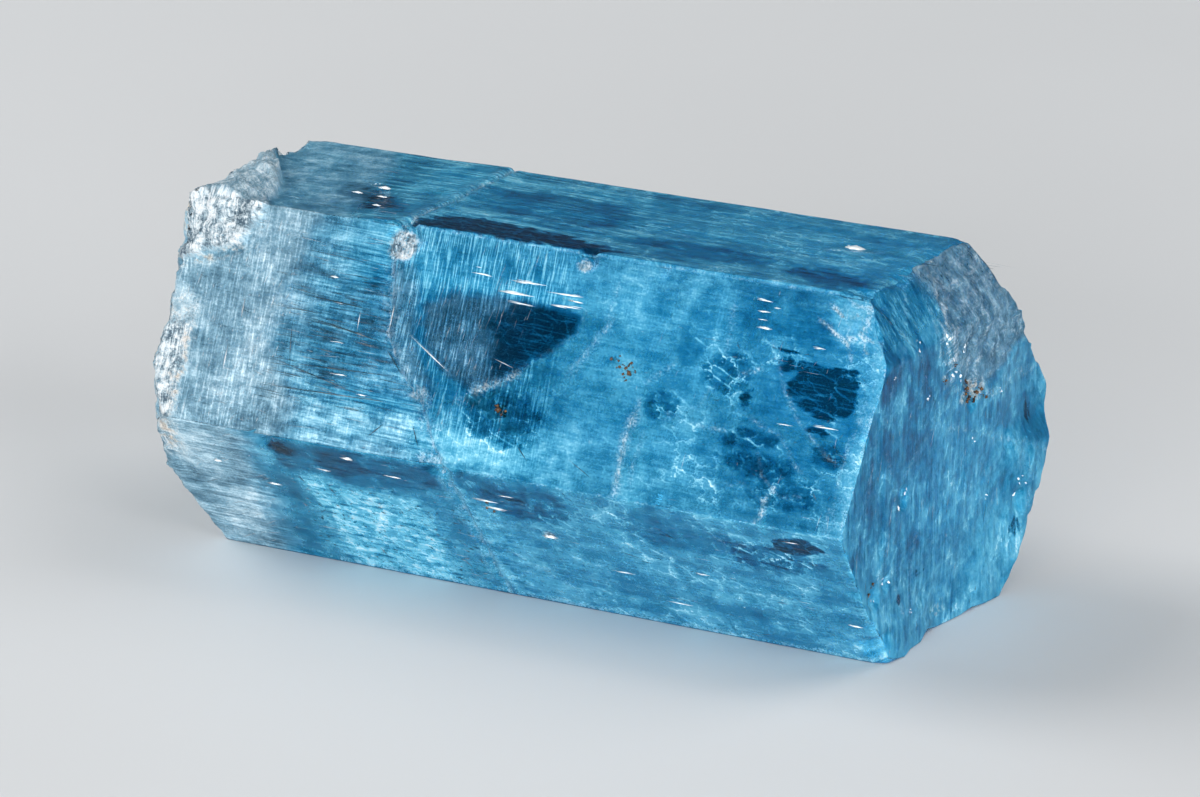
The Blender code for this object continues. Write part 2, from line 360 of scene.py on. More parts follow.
def edge_round(e, radius):
    t = 0.577 * radius
    return np.where(e < t, (t - e) ** 2 / (2 * radius), 0.0)


def columns():
    """Points round the section. One list entry per column: face, s, base point, normal and distance to its edge."""
    counts = (62, 76, 60, 18, 40, 38)
    face, s_, base, nrm, dist, pos = [], [], [], [], [], []
    for k in range(6):
        a, b, w = CORNERS[k], CORNERS[k + 1], WIDTHS[k]
        bis = NORMALS[(k - 1) % 6] + NORMALS[k]
        bis = bis / np.linalg.norm(bis)
        lead = [0.0, 0.07, 0.16, 0.28]
        inner = list(np.linspace(0.44, w - 0.44, counts[k] - 7))
        row = lead + inner + [w - 0.28, w - 0.16, w - 0.07]
        for i, s in enumerate(row):
            face.append(k)
            s_.append(s)
            base.append(a + (b - a) * s / w)
            nrm.append(bis / bis.dot(NORMALS[k]) if i == 0 else NORMALS[k])
            dist.append(min(s, w - s))
            pos.append(k + s / w)
    return (np.array(face), np.array(s_), np.array(base), np.array(nrm), np.array(dist), np.array(pos))


COL = columns()
NC = len(COL[0])


def side_points(x):
    """x is (rings, columns). Returns the points of the prism's relief."""
    face, s, base, nrm, dist, pos = COL
    out = np.zeros(x.shape + (3,))
    d = np.zeros(x.shape)
    for k in range(6):
        c = np.where(face == k)[0]
        xx = x[:, c]
        ss = np.broadcast_to(s[c], xx.shape)
        pp = np.broadcast_to(pos[c], xx.shape)
        d[:, c] = side_offset(xx, ss, pp, k, dist[c])
        # the corner column belongs to two faces: it takes the lower of both
        c0 = c[0]
        kp = (k - 1) % 6
        xo = x[:, c0]
        other = side_offset(xo, np.full_like(xo, WIDTHS[kp]), np.full_like(xo, kp + 1.0 - 1e-6), kp, 0.0)
        d[:, c0] = np.minimum(d[:, c0], other)
        # worn edges
        rad = 0.30 + 0.22 * fbm(xx * 0.5, np.broadcast_to(np.round(pos[c]) * 7.0, xx.shape), 0.0, 103, 3)
        rad = np.clip(rad, 0.08, 0.9)
        if k != REST:
            d[:, c] -= edge_round(np.broadcast_to(dist[c], xx.shape), rad)
        else:
            d[:, c0] -= 0.0
    out[..., 0] = x
    out[..., 1] = base[:, 0] + nrm[:, 0] * d
    out[..., 2] = base[:, 1] + nrm[:, 1] * d
    rest = face == REST
    out[:, rest, 2] = 0.0
    first_after = np.where(face == BACK_LOW)[0][0]
    out[:, first_after, 2] = np.maximum(out[:, first_after, 2], 0.0)
    return out


def settle(end):
    """The x at which each column meets an end surface."""
    x = np.full((1, NC), 20.0 if end is right_end else -20.0)
    for _ in range(7):
        p = side_points(x)
        x = end(p[..., 1], p[..., 2])
    return x[0]


def build_rings():
    xr, xl = settle(right_end), settle(left_end)
    xb = break_x(COL[5])
    near = np.array([0.0, 0.05, 0.11, 0.19, 0.30, 0.44])          # mm from a rim
    rows = []

    def spread(a, b, n, at_a=None, at_b=None):
        """n evenly spaced rows from a towards b; the close rows near the ends are added outside it."""
        for i in range(n):
            t = i / n
            rows.append(a + (b - a) * t)

    for e in near:
        rows.append(xl + e)
    spread(xl + 0.60, xb - 1.0, 62)
    for e in (-1.0, -0.75, -0.55, -0.40, -0.28, -0.18, -0.09, 0.0, 0.09, 0.18, 0.28, 0.40, 0.55, 0.75):
        rows.append(xb + e)
    spread(xb + 1.0, xr - 0.60, 136)
    for e in near[::-1]:
        rows.append(xr - e)
    return np.array(rows), xl, xr


def make_chips():
    """Flat chips along the two rims: x, y, z of a point on each and its outward normal."""
    out = [
        (21.62, -6.5, 19.30, 0.62, -0.45, 0.64), (22.0, -11.8, 8.8, 0.72, -0.68, 0.05), (22.30, -7.1, 0.05, 0.72, -0.42, -0.55),
        (21.0, 7.0, 19.0, 0.60, 0.45, 0.66), (-23.1, -7.8, 20.5, -0.70, -0.42, 0.58), (-21.5, -11.6, 8.6, -0.72, -0.69, 0.02),
        (-20.7, -7.3, 0.9, -0.74, -0.38, -0.55), (-22.5, 7.6, 19.9, -0.72, 0.36, 0.58), (-21.4, 11.6, 10.6, -0.72, 0.69, 0.02),
    ]
    out = [(*c[:3], *unit(np.array(c[3:], float)), 99.0) for c in out]
    for c in ((22.12, -6.85, 0.2, 0.72, -0.66, -0.20, 2.0), (22.35, -6.3, 0.1, 0.92, -0.36, -0.20, 1.6), (21.6, -7.1, 0.2, 0.40, -0.88, -0.25, 1.6)):
        out.append((*c[:3], *unit(np.array(c[3:6], float)), c[6]))
    for end, n, seed in ((1, 34, 5), (-1, 46, 6)):
        for i in range(n):
            pos = 6 * (i + 0.95 * rand(i, seed)) / n
            k = int(pos) % 6
            t = pos - int(pos)
            y, z = CORNERS[k] + (CORNERS[k + 1] - CORNERS[k]) * t
            e = right_end(y, z, False) if end > 0 else left_end(y, z, False)
            depth = (0.04 + 0.14 * rand(i, seed + 10) ** 2) if end > 0 else (0.05 + 0.25 * rand(i, seed + 10) ** 1.6)
            a = NORMALS[k]
            mix = 0.35 + 0.5 * rand(i, seed + 20)
            skew = 0.5 * (rand(i, seed + 30) - 0.5)
            n3 = np.array([end * (1 - mix) * 1.6, a[0] * mix * 1.6 - a[1] * skew, a[1] * mix * 1.6 + a[0] * skew])
            if k == BACK_HIGH and end > 0:
                depth = 0.10 + 0.34 * rand(i, seed + 10) ** 1.5
            if k == BACK_LOW and end > 0:
                depth = -0.6
            if k == REST:
                n3 = np.array([end * 0.95, 0.25 * skew, -0.30])
                depth *= 0.5
            n3 /= np.linalg.norm(n3)
            at = np.array([float(e), y, z]) - n3 * depth
            out.append((*at, *n3, (0.45 if end > 0 else 0.7) + 1.3 * rand(i, seed + 40)))
    return np.array(out)


CHIPS = make_chips()


def apply_chips(p):
    shape = p.shape
    q = p.reshape(-1, 3).copy()
    for sign in (1, -1):
        sel = np.where(q[:, 0] * sign > CORE)[0]
        core = np.stack([np.full(len(sel), CORE * sign), np.zeros(len(sel)), np.full(len(sel), AXIS_Z)], -1)
        ray = q[sel] - core
        scale = np.ones(len(sel))
        for c in CHIPS[CHIPS[:, 3] * sign > 0]:
            n = c[3:6]
            reach = ray @ n
            room = (c[:3] - core[0]) @ n
            if room <= 0:
                continue
            f = np.where(reach > room, room / np.maximum(reach, 1e-9), 1.0)
            if c[6] < 50:
                far = np.linalg.norm(q[sel] - c[:3], axis=1) / c[6]
                f = 1 - (1 - f) * smooth(1.15, 0.8, far)
            scale = np.minimum(scale, f)
        q[sel] = core + ray * scale[:, None]
    return q.reshape(shape)


def roughen(p):
    """Crumbly grain of the broken end's rim."""
    q = p.reshape(-1, 3).copy()
    left = smooth(-20.3, -21.7, q[:, 0] + 0.06 * (q[:, 2] - 10.0))
    sel = np.where(left > 0)[0]
    r = q[sel]
    core = np.stack([np.full(len(sel), -CORE), np.zeros(len(sel)), np.full(len(sel), AXIS_Z)], -1)
    ray = r - core
    length = np.linalg.norm(ray, axis=1)
    d1, d2, v = cells(r[:, 0] * 0.9, r[:, 1] * 0.9, r[:, 2] * 0.9, 111)
    n = 0.30 * fbm(r[:, 0] * 0.5, r[:, 1] * 0.5, r[:, 2] * 0.5, 112, 4, 0.42) + 0.12 * (v - 0.6) - 0.06 * smooth(0.14, 0.0, d2 - d1)
    q[sel] = core + ray * (1 + left[sel] * n / length)[:, None]
    return q.reshape(p.shape)


def rim_round(points, rows_from_rim, end):
    return points


def build_crystal():
    rows, xl, xr = build_rings()
    side = side_points(rows)
    face, s, base, nrm, dist, pos = COL
    # rounding of the two rims, on both sides of each
    rr = np.clip(0.22 + 0.2 * fbm(pos * 8, 0.0, 0.0, 121, 3), 0.06, 0.7)
    er = xr[None, :] - rows
    el = rows - xl[None, :]
    inward = edge_round(er * 0.577 / 0.577, rr[None, :]) + edge_round(el, 0.9)
    centre = np.array([0.0, AXIS_Z])
    yz = side[..., 1:] - centre
    rad = np.linalg.norm(yz, axis=-1, keepdims=True)
    side[..., 1:] = centre + yz * (1 - inward[..., None] / rad)

    caps = []
    for end, rim, n, radius in ((right_end, side_points(xr[None, :])[0], 44, rr), (left_end, side_points(xl[None, :])[0], 36, np.full(NC, 0.9))):
        yz = rim[:, 1:] - centre
        length = np.linalg.norm(yz, axis=1)
        loops = []
        fixed = [0.05, 0.11, 0.19, 0.30, 0.44, 0.62]
        frac = [1 - f / length for f in fixed] + [(1 - 0.85 / length) * (1 - i / n) for i in range(n)]
        for u in frac:
            q = centre + yz * np.asarray(u)[:, None] if np.ndim(u) else centre + yz * u
            x = end(q[:, 0], q[:, 1])
            e = length * (1 - u)
            x = x - np.sign(x) * edge_round(e, radius)
            loops.append(np.stack([x, q[:, 0], q[:, 1]], -1))
        caps.append(np.array(loops))
    middle = [np.array([[float(right_end(0.0, AXIS_Z)), 0.0, AXIS_Z]]), np.array([[float(left_end(0.0, AXIS_Z)), 0.0, AXIS_Z]])]

    nr = len(rows)
    n1, n2 = len(caps[0]), len(caps[1])
    pts = np.concatenate([side.reshape(-1, 3), caps[0].reshape(-1, 3), caps[1].reshape(-1, 3), middle[0], middle[1]])
    flat = np.concatenate([np.repeat([face == REST], nr, 0).ravel() & (side[..., 2].ravel() < 1e-6),
                           np.zeros(len(pts) - nr * NC, bool)])
    pts = roughen(apply_chips(pts))
    pts[:, 2] = np.maximum(pts[:, 2], 0.0)
    low, high = np.array(CAD_BOX[0]) / MM, np.array(CAD_BOX[1]) / MM
    pts = np.clip(pts, low + CENTRE - 0.30, high + CENTRE + 0.75)
    pts[:, 2] = np.maximum(pts[:, 2], 0.0)

    # coordinates for the masks and the fine textures
    zone = np.concatenate([np.tile(face, nr), np.full(n1 * NC, 6), np.full(n2 * NC, 7), [6], [7]])
    u = np.concatenate([rows.ravel(), caps[0][..., 1].ravel(), caps[1][..., 1].ravel(), [0.0, 0.0]])
    v = np.concatenate([np.tile(s, nr), caps[0][..., 2].ravel(), caps[1][..., 2].ravel(), [AXIS_Z, AXIS_Z]])
    pp = np.concatenate([np.tile(pos, nr), np.full((n1 + n2) * NC + 2, -1.0)])

    def idx(r, c):
        return r * NC + c % NC

    c = np.arange(NC)
    quads = []
    for r in range(nr - 1):
        quads.append(np.stack([idx(r, c), idx(r, c + 1), idx(r + 1, c + 1), idx(r + 1, c)], -1))
    off1 = nr * NC
    off2 = off1 + n1 * NC
    quads.append(np.stack([idx(nr - 1, c), idx(nr - 1, c + 1), off1 + (c + 1) % NC, off1 + c], -1))
    for r in range(n1 - 1):
        a, b = off1 + r * NC, off1 + (r + 1) * NC
        quads.append(np.stack([a + c, a + (c + 1) % NC, b + (c + 1) % NC, b + c], -1))
    quads.append(np.stack([idx(0, c + 1), idx(0, c), off2 + c, off2 + (c + 1) % NC], -1))
    for r in range(n2 - 1):
        a, b = off2 + r * NC, off2 + (r + 1) * NC
        quads.append(np.stack([a + (c + 1) % NC, a + c, b + c, b + (c + 1) % NC], -1))
    quads = np.concatenate(quads)
    last1, last2 = off1 + (n1 - 1) * NC, off2 + (n2 - 1) * NC
    m1, m2 = len(pts) - 2, len(pts) - 1
    tris = np.concatenate([np.stack([last1 + c, last1 + (c + 1) % NC, np.full(NC, m1)], -1),
                           np.stack([last2 + (c + 1) % NC, last2 + c, np.full(NC, m2)], -1)])
    return pts, quads, tris, zone, u, v, pp


def to_mesh(name, pts, quads=None, tris=None):
    """Writes a mesh from points in section millimetres."""
    co = ((np.asarray(pts, float) - CENTRE) * MM).astype(np.float32)
    loops, starts, totals = [], [], []
    at = 0
    for block, n in ((quads, 4), (tris, 3)):
        if block is not None and len(block):
            loops.append(np.asarray(block).ravel())
            starts.append(at + n * np.arange(len(block)))
            totals.append(np.full(len(block), n))
            at += n * len(block)
    loops, starts, totals = (np.concatenate(a).astype(np.int32) for a in (loops, starts, totals))
    me = bpy.data.meshes.new(name)
    me.vertices.add(len(co))
    me.vertices.foreach_set("co", co.ravel())
    me.loops.add(len(loops))
    me.loops.foreach_set("vertex_index", loops)
    me.polygons.add(len(starts))
    me.polygons.foreach_set("loop_start", starts)
    me.polygons.foreach_set("loop_total", totals)
    me.update(calc_edges=True)
    me.validate(clean_customdata=False)
    ob = bpy.data.objects.new(name, me)
    bpy.context.scene.collection.objects.link(ob)
    return ob


def attribute(ob, name, values):
    a = ob.data.attributes.new(name, "FLOAT", "POINT")
    a.data.foreach_set("value", np.asarray(values, np.float32))


def vector_attribute(ob, name, values):
    a = ob.data.attributes.new(name, "FLOAT_VECTOR", "POINT")
    a.data.foreach_set("vector", np.asarray(values, np.float32).ravel())


# ---------------------------------------------------------------------------
# what each spot of the skin is like
# ---------------------------------------------------------------------------
MASKS = ("haze", "frost", "white", "painted_shade_and_tone", "dark", "painted_light", "along", "across", "comma", "mottle", "veil", "tan", "satin")
# clear places and dark bands and patches, as outlines on the faces (x, s); their darkness is painted shade, as where a
# clear face looks into the dark
WINDOW = [(-6.4, 4.4), (-5.6, 6.6), (-3.7, 8.0), (-1.9, 8.5), (0.1, 7.3), (1.2, 6.2), (2.1, 5.6), (3.3, 4.4), (3.45, 3.45), (1.5, 3.3), (-1.9, 3.1), (-4.6, 3.5)]
WINDOW_TIP = [(-2.3, 4.6), (-1.0, 3.5), (1.5, 3.45), (3.35, 3.4), (3.2, 4.4), (2.0, 5.6), (0.6, 6.9), (-0.5, 7.5), (-1.5, 7.0), (-1.3, 6.0)]
PANE = [(17.0, 4.05), (20.4, 3.95), (20.6, 4.8), (20.8, 6.6), (19.5, 6.9), (18.1, 6.6), (16.9, 5.75), (16.6, 5.0)]
PANE_B = [(15.6, 3.95), (16.5, 3.8), (16.7, 4.9), (15.95, 4.8)]
PANE_C = [(13.95, 5.95), (14.6, 5.85), (14.9, 6.9), (14.3, 7.0)]
TOP_STREAK = [(-8.9, 11.5), (-7.4, 9.9), (-4.0, 9.6), (-0.2, 10.2), (2.7, 10.9), (4.6, 11.7), (3.0, 12.3), (-3.6, 12.35), (-8.4, 12.3)]
TOP_PATCH = [(-16.2, 6.3), (-15.1, 6.2), (-12.2, 7.6), (-10.8, 9.7), (-12.6, 10.2), (-14.6, 9.0), (-15.8, 8.0)]
TOP_RIGHT = [(13.7, 9.2), (16.0, 8.9), (18.7, 9.6), (19.3, 11.0), (17.0, 11.8), (14.6, 10.6)]
UNDER_BAND = [(-14.8, 1.2), (-13.0, 0.3), (-3.4, 0.2), (-3.5, 1.4), (-4.6, 2.5), (-7.6, 3.0), (-11.5, 2.6), (-13.5, 2.9)]
UNDER_BAND_B = [(-2.7, 0.15), (3.5, 0.5), (5.0, 1.3), (4.6, 2.6), (1.3, 3.4), (-0.9, 2.2)]
UNDER_LENS = [(17.4, 0.9), (19.3, 0.5), (20.8, 1.25), (18.9, 2.1), (17.4, 1.7)]
UNDER_CELLS = [(14.6, 1.7), (17.3, 1.9), (20.5, 2.7), (17.0, 3.7), (14.8, 3.7)]


def inside(x, s, poly):
    """Signed distance to a polygon on a face, positive inside."""
    d, _ = line_distance(x, s, poly + poly[:1])
    odd = np.zeros(np.shape(x), bool)
    for (x0, s0), (x1, s1) in zip(poly, poly[1:] + poly[:1]):
        cross = ((s0 > s) != (s1 > s)) & (x < (x1 - x0) * (s - s0) / (s1 - s0 + 1e-12) + x0)
        odd ^= cross
    return np.where(odd, d, -d)


def paint(zone, u, v, pp, pts):
    """The masks at every vertex of the skin."""
    n = len(zone)
    m = {name: np.zeros(n) for name in MASKS}
    m["grow"] = np.zeros((n, 3))
    jit = fbm(pts[:, 0] * 0.35, pts[:, 1] * 0.35, pts[:, 2] * 0.35, 201, 4)
    fine = fbm(pts[:, 0] * 1.6, pts[:, 1] * 1.6, pts[:, 2] * 1.6, 202, 4)

    for k in range(6):
        i = np.where(zone == k)[0]
        x, s, pos = u[i], v[i], pp[i]
        total = sum(WIDTHS[:k]) + s
        m["grow"][i] = np.stack([x, total, np.full(len(i), float(k))], -1)
        gap = break_gap(x, pos, k)
        w = WIDTHS[k]
        edge = np.minimum(s, w - s)
        j, f = jit[i], fine[i]
        one = np.ones(len(i))
        frost = frost_mask(x, s, pos, k)
        lump = lump_mask(x, s, k)
        haze = 0.30 + 0.55 * j
        painted_shade_and_tone, dark, painted_light, crust, tan = (0 * one for _ in range(5))
        satin = {UNDER: 0.30, TOP: 0.10}.get(k, 0.0) * one
        along, across, comma, mottle, veil = 0.22 * one, 0.06 * one, 0 * one, 0.30 * one, 0.25 * one
        white = lump * ({TOP: 0.50, FRONT: 1.0}.get(k, 0.9) + 0.5 * f)

        def pane(poly, soft=0.2, wob=0.3):
            return smooth(-soft, soft, inside(x, s, poly) + wob * f)

        def stroke(path, width, a):
            nonlocal white
            away, _ = line_distance(x + 0.22 * f, s + 0.22 * j, path)
            white = np.maximum(white, a * np.exp(-(away / width) ** 2) * np.clip(0.75 + 1.1 * f, 0, 1))

        # healed break: a whitish line with lips
        line = np.exp(-(gap / 0.15) ** 2)
        lips = np.exp(-((np.abs(gap) - 0.42) / 0.28) ** 2)
        heal = {TOP: 0.95, FRONT: 0.78, UNDER: 0.80, REST: 0.3, BACK_LOW: 0.6, BACK_HIGH: 0.8}[k]
        ragged = fbm(pos * 15, x * 0.5, 0, 203, 3)
        white = np.maximum(white, heal * (0.75 * line + 0.30 * lips) * np.clip(0.75 + 1.4 * ragged, 0, 1))
        left = smooth(0.3, -0.3, gap)
        if k == TOP:
            grey = np.maximum(smooth(-13.4, -15.6, x - 0.25 * (s - 6.0) + 1.4 * j), 0)
            satin = satin + 0.5 * grey
            frost = np.maximum(np.maximum(0.55 * frost, 0.62 * grey), lump)
            haze = haze - 0.25 * grey - 0.05
            # painted shade: the dark streak and the dark patches of the top face
            dark = 0.9 * pane(TOP_STREAK, 0.45, 0.9)
            patch = pane(TOP_PATCH, 0.7, 1.0)
            painted_shade_and_tone = np.maximum(painted_shade_and_tone, 0.75 * patch)
            painted_shade_and_tone = np.maximum(painted_shade_and_tone, 0.50 * pane(TOP_RIGHT, 0.7, 1.6))
            painted_shade_and_tone = np.maximum(painted_shade_and_tone, 0.30 * blob(x, s, -15.3, 10.6, 2.4, 1.2, 0, 0.5, 212))
            painted_shade_and_tone = np.maximum(painted_shade_and_tone, 0.30 * blob(x, s, -3.0, 5.6, 5.5, 2.6, 2, 0.9, 213))
            painted_shade_and_tone = np.maximum(painted_shade_and_tone, 0.32 * blob(x, s, 8.0, 9.4, 5.0, 1.3, 0, 0.8, 214))
            painted_shade_and_tone = painted_shade_and_tone + 0.03
            # painted light: the top face is made brighter, more so in one blob
            painted_light = 0.78 + 0.20 * blob(x, s, -10.5, 3.5, 3.5, 2.8, 0, 0.8, 215)
            along = 0.40 - 0.16 * smooth(3.0, 7.0, x) - 0.15 * grey
            comma = 0.75 * np.maximum(pane(TOP_RIGHT, 0.5, 1.0), patch) + 0.22 * smooth(-7, -4, x) * smooth(8.0, 2.0, x)
            mottle = 0.35 + 0.4 * patch
            veil = 0.30 + 0.25 * smooth(2.0, 8.0, x)
            stroke([(-6.4, 8.3), (-2.5, 8.0), (1.5, 8.5), (4.0, 9.0)], 0.10, 0.30)
            stroke([(-4.0, 4.6), (2.0, 5.2), (6.0, 5.6)], 0.09, 0.22)
            stroke([(2.7, 6.3), (4.4, 5.9), (6.4, 7.3)], 0.10, 0.35)
            stroke([(13.9, 5.8), (15.4, 5.3), (16.9, 4.9)], 0.22, 0.55)
            stroke([(-8.6, 10.2), (-7.9, 9.2), (-6.6, 8.6)], 0.10, 0.40)
        elif k == FRONT:
            low = smooth(9.9, 11.2, s + 0.4 * j) * smooth(-3.5, -6.5, x)
            frost = np.maximum(frost, left * smooth(-9.0, -15.5, x + 0.8 * j) * 0.6)
            mid = left * (1 - smooth(0.2, 0.8, frost))
            slate = mid * smooth(2.6, 4.6, s + 0.6 * j) * smooth(10.3, 9.0, s) * smooth(-14.4, -12.6, x)
            lens = (1 - left) * smooth(2.1, 1.3, gap) * smooth(1.6, 2.8, s) * smooth(9.3, 8.3, s)
            # the lower band left of the break is made paler through frost: partly etched skin, partly a painted sheen;
            # the slate zone is frosted a little too
            frost = np.maximum(frost, left * (0.55 * low + 0.34 * slate))
            frost = np.maximum(frost, 0.55 * lens)
            # painted shade: the window, its tip, the panes and the dark blobs, where the face looks into the dark
            win = pane(WINDOW, 0.35, 0.5)
            tip = pane(WINDOW_TIP, 0.45, 0.6)
            painted_shade_and_tone = np.maximum(painted_shade_and_tone, 0.60 * win)
            painted_light_off = win
            painted_shade_and_tone = np.maximum(painted_shade_and_tone, 0.45 * lens)
            frost = np.maximum(frost, 0.50 * win * (1 - 0.8 * tip) * smooth(2.0, -1.5, x))
            dark = np.maximum(dark, 0.95 * tip)
            for poly, a in ((PANE, 1.0), (PANE_B, 0.9), (PANE_C, 0.75)):
                dark = np.maximum(dark, a * pane(poly, 0.32, 0.50))
            dark = np.maximum(dark, 0.9 * blob(x, s, 16.15, 3.48, 0.62, 0.13, 0, 0.2, 311))
            dark = np.maximum(dark, 0.75 * blob(x, s, 18.9, 7.6, 0.9, 0.20, 6, 0.5, 312))
            dark = np.maximum(dark, 0.60 * blob(x, s, 20.0, 8.9, 0.6, 0.22, 8, 0.6, 313))
            loose = 0.75 * blob(x, s, 12.9, 5.3, 1.5, 1.2, 0, 0.5, 314)
            loose = np.maximum(loose, 0.95 * blob(x, s, 15.0, 8.6, 1.7, 0.6, -4, 0.6, 315))
            loose = np.maximum(loose, 1.00 * blob(x, s, 15.9, 9.9, 2.3, 0.7, 4, 0.6, 316))
            loose = np.maximum(loose, 0.85 * blob(x, s, 19.9, 8.8, 1.1, 0.6, 0, 0.7, 317))
            loose = np.maximum(loose, 0.70 * blob(x, s, 9.6, 7.6, 1.1, 0.9, 0, 0.6, 318))
            loose = np.maximum(loose, 0.55 * blob(x, s, 17.8, 11.2, 2.2, 0.9, 0, 0.8, 319))
            messy = 0.9 * blob(x, s, 0.2, 9.8, 2.6, 1.6, 10, 0.5, 217)
            loose = np.maximum(loose, messy)
            # painted shade over the loose patches, the slate zone and a few blobs
            painted_shade_and_tone = np.maximum(painted_shade_and_tone, 0.50 * loose)
            painted_shade_and_tone = np.maximum(painted_shade_and_tone, 0.46 * slate)
            painted_shade_and_tone = np.maximum(painted_shade_and_tone, 0.22 * blob(x, s, 10.6, 3.0, 0.9, 2.4, 8, 0.6, 320))
            painted_shade_and_tone = np.maximum(painted_shade_and_tone, 0.22 * blob(x, s, 17.0, 2.2, 1.8, 1.1, 0, 0.6, 321))
            painted_shade_and_tone = np.maximum(painted_shade_and_tone, 0.12 * blob(x, s, -3.0, 1.6, 3.6, 1.0, 3, 0.6, 322))
            haze = haze + 0.9 * (1 - left) * smooth(9.6, 11.0, s) * smooth(6.5, 2.5, x)
            mottle = 0.32 + 1.0 * loose + 0.25 * frost + 0.35 * messy + 0.35 * smooth(9.6, 11.0, s) * smooth(6.5, 2.5, x)
            comma = 1.0 * mid * smooth(2.0, 3.8, s) * smooth(10.6, 9.0, s) * smooth(-15.5, -13.8, x)
            comma = np.maximum(comma, 0.30 * mid * smooth(9.0, 11.0, s))
            comma = np.maximum(comma, 0.25 * mid * smooth(3.0, 1.5, s))
            along = 0.12 + 0.34 * mid + 0.10 * frost
            hairs = (1 - left) * smooth(3.6, 1.0, x - 0.1 * (s - 6)) * smooth(13.4, 9.0, s)
            across = 0.08 + 0.62 * hairs * (1 - 0.8 * tip) * (1 + 0.35 * win) + 0.42 * frost * (1 - 0.3 * smooth(3.0, 1.0, s))
            haze = haze + 0.60 * mid - 0.5 * win + 0.5 * (1 - left) * smooth(3.6, 2.6, s + 0.3 * j) * smooth(6.0, 1.0, x)
            haze = haze + 0.34 * (1 - left) * smooth(3.0, 5.0, x) * smooth(15.0, 11.0, x) + 0.10 * (1 - left) * smooth(11.0, 15.0, x) + 0.10 * (1 - left) * smooth(4.0, 2.6, s) * smooth(3.0, 1.0, x)
            veil = 0.20 + 0.55 * (1 - left) * smooth(8.0, 12.0, x) * smooth(2.0, 4.0, s) + 0.3 * messy
            # painted light: brighter bands near the lower and upper edges, and a lift over the face that is kept off
            # the window
            painted_light = np.maximum(painted_light, 0.55 * left * smooth(9.8, 11.2, s) * smooth(12.9, 12.2, s) * smooth(-15, -9, x))
            painted_light = np.maximum(painted_light, 0.75 * (1 - left) * smooth(10.4, 11.4, s) * smooth(12.9, 12.5, s) * smooth(5.5, 1.5, x) * 0.75)
            painted_light = np.maximum(painted_light, 0.45 * (1 - left) * smooth(2.2, 2.6, s) * smooth(3.4, 3.0, s) * smooth(5.5, 3.5, x))
            painted_light = np.maximum(painted_light, 0.20 + 0.10 * smooth(4.0, 7.0, x) * smooth(13.5, 11.0, x)) * (1 - painted_light_off)
            rim = smooth(20.75, 21.45, x + 0.05 * (s - 6.5) + 0.3 * f)
            haze = haze + 0.30 * rim
            white = np.maximum(white, 0.20 * rim * np.clip(0.8 + 1.2 * j, 0, 1))
            white = np.maximum(white, 0.55 * np.exp(-((x - 21.05 + 0.05 * (s - 6.5) + 0.35 * j) / 0.10) ** 2) * np.clip(0.7 + 1.2 * f, 0, 1))
            mottle = mottle * (1 - 0.5 * rim)
            crust = smooth(-20.2, -20.9, x + 0.5 * f + 0.3 * j) * smooth(5.0, 8.2, s + 0.6 * f)
            seam_at = np.exp(-((x + 20.75 + 0.6 * f + 0.5 * j) / 0.16) ** 2)
            tan = np.maximum(0.95 * seam_at * smooth(8.2, 9.4, s + f) * smooth(13.0, 11.6, s), 0.85 * crust * smooth(-0.10, 0.16, j + 0.4 * f))
            white = np.maximum(white, crust * (1 + 0.5 * f))
            white = np.maximum(white, 0.42 * smooth(0.18, 0.02, edge) * (0.5 + f))
            for path, width, a in (([(3.5, 3.2), (3.4, 4.5), (1.8, 5.9), (0.4, 7.2)], 0.10, 0.40), ([(0.6, 7.15), (-0.55, 7.95), (-2.0, 8.7)], 0.20, 1.0),
                                   ([(-2.0, 8.7), (-2.9, 9.4)], 0.12, 0.6), ([(8.2, 7.6), (8.1, 8.6)], 0.16, 0.5),
                                   ([(8.15, 8.4), (7.8, 9.3), (7.9, 10.6), (8.1, 12.8)], 0.26, 0.85), ([(8.9, 9.3), (8.7, 11.0), (8.9, 12.4)], 0.14, 0.40),
                                   ([(5.3, 3.4), (5.0, 4.2), (4.1, 5.7), (3.6, 6.8)], 0.22, 0.50), ([(8.2, 6.6), (9.8, 5.1)], 0.10, 0.40),
                                   ([(17.3, 11.0), (16.9, 11.9), (16.95, 12.5), (16.6, 13.09)], 0.18, 0.95), ([(-6.9, 6.0), (-3.9, 7.75)], 0.06, 0.75),
                                   ([(9.8, 8.4), (11.6, 7.4), (12.6, 5.6)], 0.12, 0.30), ([(13.6, 5.25), (14.8, 4.8)], 0.09, 0.8),
                                   ([(15.2, 3.3), (16.5, 5.6), (17.8, 7.3), (20.0, 8.9), (21.2, 9.4)], 0.13, 0.45), ([(14.9, 7.4), (16.8, 8.1), (18.6, 9.9)], 0.10, 0.45),
                                   ([(15.8, 9.2), (16.4, 10.4), (17.6, 11.4), (19.0, 11.2)], 0.09, 0.5), ([(13.0, 11.6), (15.4, 11.0), (16.9, 11.9)], 0.09, 0.35),
                                   ([(10.0, 7.9), (12.5, 8.4), (13.6, 8.3)], 0.12, 0.40), ([(5.2, 1.4), (5.0, 4.0)], 0.16, 0.35), ([(12.3, 1.2), (12.5, 4.2)], 0.20, 0.28),
                                   ([(-3.1, 10.4), (-3.7, 11.6), (-3.2, 13.0)], 0.22, 0.40), ([(-5.3, 9.2), (-4.4, 10.4), (-3.5, 12.4)], 0.16, 0.40)):
                stroke(path, width, a)
            white = np.maximum(white, blob(x, s, -8.75, 1.1, 1.05, 0.95, 30, 0.5, 231))
            white = np.maximum(white, 0.70 * blob(x, s, -5.25, 9.3, 0.65, 0.50, 0, 0.5, 232))
            white = np.maximum(white, 0.55 * blob(x, s, -3.6, 12.7, 0.8, 0.6, 0, 0.5, 233))
